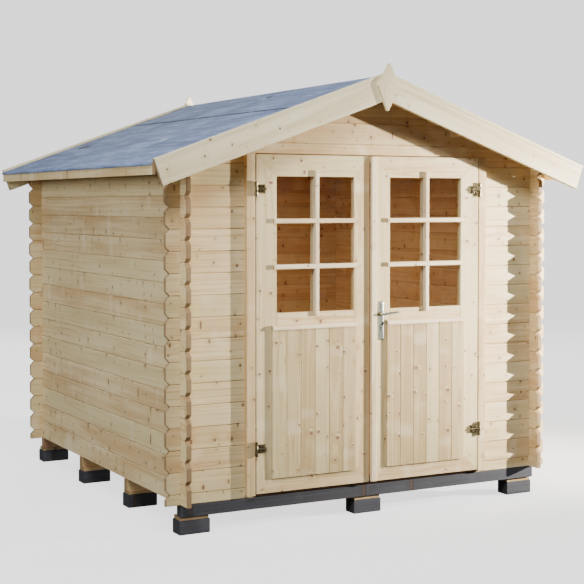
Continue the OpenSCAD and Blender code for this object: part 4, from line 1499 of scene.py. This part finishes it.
def buildBarrels():
    # caps over and under each knuckle, set on the posts, and the pin through them
    r, half = hinge["barrelR"], hinge["barrelH"] / 2
    first = hinge["knuckleH"] / 2 + hinge["gap"]
    fixed = bmesh.new()
    for side in (-1, 1):
        x0, x1 = sorted((side * (postInX + 0.0002), side * (hingeX + r * 0.86)))
        for level in hingeLevels:
            centre = (side * hingeX, hingeY, level)
            for turn in (-1, 1):
                lathe(fixed, ((r * 0.5, first), (r, first), (r, half - 0.005),
                              (r, half - 0.0045), (r * 0.93, half - 0.0022),
                              (r * 0.7, half - 0.0006), (r * 0.35, half), (0.0, half)),
                      centre, (0, 0, turn))
                z0, z1 = sorted((level + turn * first, level + turn * (half - 0.003)))
                boxInto(fixed, (x0, hingeY, z0), (x1, postFrontY, z1), 0.0008)
            lathe(fixed, ((hinge["pinR"], -half + 0.006), (hinge["pinR"], half - 0.006)),
                  centre, (0, 0, 1), 16)
    metalPiece(fixed, "hingeBarrels", zinc, "house", "zinc", "hinge_barrels")


def buildHinges(side, body):
    # knuckles, arms and brackets of one leaf
    node = body + "_hinges"
    r, h, a = hinge["barrelR"], hinge["knuckleH"] / 2, hinge["armR"]
    reach = hingeX - min(abs(x) for x in span(node, 0))
    out = hingeX - r - hinge["bracketGap"]
    x0, x1 = sorted((side * (out - hinge["bracketW"]), side * out))
    half, bracketY = hinge["bracketH"] / 2, leafFrontY - hinge["bracketT"]
    inner, outer, deep = hinge["saddle"]
    saddleY = leafFrontY - deep
    moving = bmesh.new()
    for level in hingeLevels:
        centre = (side * hingeX, hingeY, level)
        bore = hinge["boreR"]
        lathe(moving, ((bore, -h), (r * 0.94, -h), (r, -h + 0.0008), (r, h - 0.0008),
                       (r * 0.94, h), (bore, h)), centre, (0, 0, 1))
        lathe(moving, ((0.0, 0.003), (a * 0.8, 0.003), (a * 0.8, 0.0145), (a, 0.0150),
                       (a, 0.019), (a * 0.9, 0.0195), (a * 0.9, reach - 0.014),
                       (a, reach - 0.0135), (a, reach - 0.006), (a * 0.75, reach - 0.0045),
                       (a * 0.7, reach - 0.001), (a * 0.5, reach), (0.0, reach)),
              centre, (-side, 0, 0))
        boxInto(moving, (x0, bracketY, level - half), (x1, leafFrontY, level + half), 0.0014)
        # saddle blocks over and under the arm, each held by two nuts
        for turn in (-1, 1):
            z0, z1 = sorted((level + turn * inner, level + turn * outer))
            boxInto(moving, (x0 + 0.004, saddleY, z0), (x1 - 0.004, bracketY + 0.0002, z1),
                    0.0012)
            for share in hinge["nutShares"]:
                hexagon(moving, (x0 + (x1 - x0) * share, saddleY,
                                 level + turn * hinge["nutAt"]), *hinge["nut"])
    metalPiece(moving, body + "Hinges", zinc, body, "zinc", node)


buildBarrels()
buildHinges(-1, "left_leaf")
buildHinges(1, "right_leaf")


# handle

handle = {
    "rise": 0.036,          # handle axis over the plate's middle
    "keyDrop": 0.076, "keyR": 0.005, "keySlot": (0.004, 0.018),
    "rimT": 0.004, "corner": 0.005,
    "boreR": 0.009, "collarR": (0.0092, 0.0134),
    "case": (0.011, 0.0058, 0.022, 0.010),  # dark case: half width, front, foot, top
    "screwIn": 0.012, "screw": 0.0036,
    "neckR": (0.0088, 0.0080, 0.0078),  # neck, then depth and height where it bends
    "bend": 0.013, "leverR": 0.007, "tipR": 0.004, "angle": 5.0,
}


def roundedOutline(width, height, r, count=5):
    points = []
    for h, v, start in ((1, -1, -90), (1, 1, 0), (-1, 1, 90), (-1, -1, 180)):
        for k in range(count + 1):
            a = math.radians(start + 90 * k / count)
            points.append(Vector((h * (width / 2 - r) + r * math.cos(a),
                                  v * (height / 2 - r) + r * math.sin(a))))
    return points


def cutFrom(piece, cutter):
    # takes a bmesh out of a piece and leaves the piece a plain mesh
    tool = placed("cutter", meshData(cutter, "cutter"), steel)
    modifier = piece.modifiers.new("cut", "BOOLEAN")
    modifier.object = tool
    modifier.operation = "DIFFERENCE"
    modifier.solver = "EXACT"
    modifier.use_self = True
    graph = bpy.context.evaluated_depsgraph_get()
    data = bpy.data.meshes.new_from_object(piece.evaluated_get(graph), depsgraph=graph)
    piece.modifiers.clear()
    piece.data = data
    bpy.data.objects.remove(tool)
    data.materials.clear()
    data.materials.append(steel)


def buildPlate():
    low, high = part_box("handle_plate")
    cx, cz = (low.x + high.x) / 2, (low.z + high.z) / 2
    width, height, backFace = high.x - low.x, high.z - low.z, high.y
    axisZ = cz + handle["rise"]
    keyZ = axisZ - handle["keyDrop"]
    rim = handle["rimT"]
    mesh = bmesh.new()
    loops = []
    for out, shrink in ((0.0, 0.0), (rim - 0.0006, 0.0), (rim + 0.0002, 0.0004),
                        (0.0062, 0.0014), (0.0074, 0.0024), (high.y - low.y, 0.0042)):
        shape = roundedOutline(width - 2 * shrink, height - 2 * shrink,
                               max(0.0016, handle["corner"] - shrink * 0.6))
        loops.append([mesh.verts.new((cx + p.x, backFace - out, cz + p.y)) for p in shape])
    skin(mesh, loops)
    plate = placed("handlePlate", meshData(mesh, "handlePlate"), steel)

    # keyhole and neck bore
    cutter = bmesh.new()
    for r, z, count in ((handle["keyR"], keyZ, 20), (handle["boreR"], axisZ, 28)):
        lathe(cutter, ((0.0, -0.002), (r, -0.002), (r, 0.02), (0.0, 0.02)),
              (cx, backFace, z), ahead, count)
    w, h = handle["keySlot"]
    boxInto(cutter, (cx - w / 2, backFace - 0.02, keyZ - h),
            (cx + w / 2, backFace + 0.002, keyZ), 0.0002)
    cutFrom(plate, cutter)
    # the flat face keeps its own shading
    plate.data.set_sharp_from_angle(angle=0.35)
    for polygon in plate.data.polygons:
        polygon.use_smooth = abs(polygon.normal.y) < 0.99
    settle(plate, "right_leaf", "steel", "handle_plate")

    # behind the keyhole: the case of the lock, painted near-black as the shade inside the
    # keyhole, and a collar round the neck
    case = bmesh.new()
    side, out, foot, top = handle["case"]
    boxInto(case, (cx - side, backFace - out, keyZ - foot), (cx + side, backFace, keyZ + top),
            0.0002)
    metalPiece(case, "lockCase", lockIron, "right_leaf", "steel")
    collar = bmesh.new()
    inner, outer = handle["collarR"]
    lathe(collar, ((inner, 0.0070), (outer, 0.0070), (outer, 0.0094), (outer - 0.0012, 0.0108),
                   (inner + 0.0006, 0.0112), (inner, 0.0104), (inner, 0.0070)),
          (cx, backFace, axisZ), ahead, 28)
    metalPiece(collar, "neckCollar", zinc, "right_leaf", "steel")
    away = height / 2 - handle["screwIn"]
    setHeads("plateScrews", [((cx, low.y, cz + s * away), ahead) for s in (-1, 1)], screwHead,
             handle["screw"], steel, "right_leaf", 3)
    return cx, backFace, axisZ


def buildLever(cx, faceY, axisZ):
    # a tube swept from the neck round the bend and out to the tapered tip
    low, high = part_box("door_handle")
    r, tipR, bend = handle["leverR"], handle["tipR"], handle["bend"]
    neck, deep, tall = handle["neckR"]
    angle = math.radians(handle["angle"])
    leverY = low.y + r - faceY
    last = (high.x - cx) / math.cos(angle) - tipR
    # each station: place across and out, half depth, half height
    path = [(0.0, -0.0004, neck, neck), (0.0, leverY + bend + 0.002, neck, neck),
            (0.0, leverY + bend, deep, deep)]
    for k in range(1, 8):
        a = math.radians(90 * k / 8)
        path.append((bend * (1 - math.cos(a)), leverY + bend * (1 - math.sin(a)),
                     deep + (r - deep) * k / 8, tall + (r - tall) * k / 8))
    for k in range(13):
        share = k / 12
        thick = r + (tipR - r) * share ** 0.85
        path.append((bend + (last - bend) * share, leverY, thick * 0.92,
                     thick * (1.0 + 0.12 * math.sin(share * 3.0))))
    for k in range(1, 5):
        a = math.radians(88 * k / 4)
        path.append((last + tipR * math.sin(a), leverY, tipR * 0.92 * math.cos(a),
                     tipR * math.cos(a)))
    mesh = bmesh.new()
    loops = []
    count = 24
    for i, (x, y, depth, height) in enumerate(path):
        before, after = path[max(i - 1, 0)], path[min(i + 1, len(path) - 1)]
        onward = Vector((after[0] - before[0], after[1] - before[1], 0)).normalized()
        flat = Vector((-onward.y, onward.x, 0))
        loop = []
        for k in range(count):
            a = 2 * math.pi * k / count
            p = Vector((x, y, 0)) + flat * math.cos(a) * depth + ez * math.sin(a) * height
            turned = Vector((p.x * math.cos(angle) - p.z * math.sin(angle), p.y,
                             p.x * math.sin(angle) + p.z * math.cos(angle)))
            loop.append(mesh.verts.new(turned + Vector((cx, faceY, axisZ))))
        loops.append(loop)
    skin(mesh, loops)
    metalPiece(mesh, "doorLever", steel, "handle", "steel", "door_handle", angle=0.9)


buildLever(*buildPlate())
print("hardware built")


# nails in the house

nails = {
    "size": 0.0024,
    "finial": ((-0.014, 0.004), (0.010, 0.028), (0.004, -0.018)),  # from its middle
    "barge": (0.13, 0.36, 0.60, 0.84, 1.08, 1.27),  # across from the peak
    "bargeDrop": (0.052, 0.116),    # below the board's top
    "post": (0.10, 0.62, 1.20, 1.74),  # over the walls' foot
    "fasciaStep": 0.3, "fasciaUp": 0.022,
}


def houseNails():
    spots = []
    low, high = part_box("finials")
    middle = low.z + finial["widest"]
    for y, way in ((low.y, -1.0), (high.y, 1.0)):
        spots += [((x, y - way * 0.0008, middle + z), (0.0, way, 0.0))
                  for x, z in nails["finial"]]
    for node, end, way in (("front_bargeboards", 0, -1.0), ("rear_bargeboards", 1, 1.0)):
        y, peak = span(node, 1)[end], span(node, 2)[1]
        spots += [((side * x, y, peak - x * slope - drop), (0.0, way, 0.0))
                  for side in (-1, 1) for x in nails["barge"] for drop in nails["bargeDrop"]]
    low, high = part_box("fascia_boards")
    step = nails["fasciaStep"]
    for side in (-1, 1):
        x = side * (postInX + postOutX) / 2
        spots += [((x, postFrontY, footZ + z), ahead) for z in nails["post"]]
        spots += [((side * eaveX, low.y + (k + 0.5) * step, low.z + nails["fasciaUp"]),
                   (float(side), 0.0, 0.0)) for k in range(round((high.y - low.y) / step))]
    setHeads("houseNails", spots, nailHead, nails["size"], nailSteel, "house", 5)


houseNails()


# camera, light and floor

studio = {
    "place": (-3.9033, -7.5411, 1.719), "turn": (88.226, 0.0, -28.10),
    "lens": 83.69, "sensor": 36.0, "shiftY": -0.08,
    "keyPlace": (6.1, -3.62, 1.60), "keyAim": (1.58, -0.31, 1.35), "keyRadius": 0.07,
    "keyCone": 44.0, "keyBlend": 1.0, "keyPower": 15600.0, "keyColour": (1.0, 0.965, 0.91),
    "frontPlace": (-3.2, -6.3, 6.7), "frontSize": (4.4, 2.2), "frontPower": 720.0,
    "leftPlace": (-7.6, -1.6, 2.9), "leftSize": (4.4, 2.4), "leftPower": 330.0,
    "backPlace": (3.4, 8.0, 4.6), "backSize": (5.0, 3.0), "backPower": 520.0,
    "skyColour": (0.89, 0.94, 1.0), "aim": (0.0, 0.0, 1.2),
    "roomX": -0.35, "roomSize": 1.5, "roomPower": 16.5, "roomColour": (1.0, 0.68, 0.50),
    "fill": 0.13, "fillColour": (0.92, 0.965, 1.0, 1.0),
    "floor": (0.50, 0.50, 0.49), "floorPale": (0.54, 0.54, 0.53), "glow": 1.6,
}

camera = bpy.data.objects.new("camera", bpy.data.cameras.new("camera"))
bpy.context.scene.collection.objects.link(camera)
camera.location = studio["place"]
camera.rotation_euler = [math.radians(a) for a in studio["turn"]]
camera.data.lens = studio["lens"]
camera.data.sensor_width = studio["sensor"]
camera.data.shift_y = studio["shiftY"]
bpy.context.scene.camera = camera


def lamp(name, kind, place, aim, power, colour, values):
    light = bpy.data.lights.new(name, kind)
    light.energy = power
    light.color = colour
    for key, value in values.items():
        setattr(light, key, value)
    made = bpy.data.objects.new(name, light)
    bpy.context.scene.collection.objects.link(made)
    made.location = place
    made.rotation_euler = (Vector(place) - Vector(aim)).to_track_quat("Z", "Y").to_euler()
    made.visible_camera = False


def softLamp(name, place, aim, power, colour, wide, high):
    lamp(name, "AREA", place, aim, power, colour,
         {"shape": "RECTANGLE", "size": wide, "size_y": high})


lamp("keyLight", "SPOT", studio["keyPlace"], studio["keyAim"], studio["keyPower"],
     studio["keyColour"], {"shadow_soft_size": studio["keyRadius"],
                           "spot_size": math.radians(studio["keyCone"]),
                           "spot_blend": studio["keyBlend"]})
for name in ("front", "left", "back"):
    softLamp(name + "Light", studio[name + "Place"], studio["aim"], studio[name + "Power"],
             studio["skyColour"], *studio[name + "Size"])
# light that finds its way into the room
roomX, roomY, roomSize = studio["roomX"], (frontY + backY) / 2, studio["roomSize"]
softLamp("roomLight", (roomX, roomY, doorHeadZ - 0.1), (roomX, roomY, 0.0),
         studio["roomPower"], studio["roomColour"], roomSize, roomSize)

world = bpy.data.worlds.new("studio")
bpy.context.scene.world = world
world.use_nodes = True
sky = world.node_tree.nodes["Background"].inputs
sky["Color"].default_value = studio["fillColour"]
sky["Strength"].default_value = studio["fill"]

# the floor sweeps up into a dome, so that no edge of it shows
quarters = [math.pi / 2 * k / 8 for k in range(1, 9)]
sweep = [(r, 0.0) for r in (0.0, 1.5, 3.0, 6.0, 12.0, 20.0)]
sweep += [(20.0 + 20.0 * math.sin(a), 20.0 * (1 - math.cos(a))) for a in quarters]
sweep += [(40.0 * math.cos(a), 20.0 + 30.0 * math.sin(a)) for a in quarters]
ground = bmesh.new()
lathe(ground, sweep[::-1], (0, 0, 0), (0, 0, 1), 64)
floorFinish, sheet = newFinish("paleFloor")
cloud, grit = sheet.noise(sheet.place(), 0.8, 4.0), sheet.noise(sheet.place(), 60.0, 3.0)
closeFinish(sheet, {"Base Color": sheet.mix(cloud, studio["floor"], studio["floorPale"]),
                    "Roughness": 0.8 + (grit - 0.5) * 0.1, "Specular IOR Level": 0.1,
                    "Emission Color": (1.0, 1.0, 1.0), "Emission Strength": studio["glow"],
                    "Normal": sheet.bump(grit, 0.1, 0.001)})
floor = placed("floor", meshData(ground, "floor", smooth=True, outwards=False), floorFinish)
floor.visible_diffuse = False
floor.visible_glossy = False
floor.visible_shadow = False

print("scene ready")
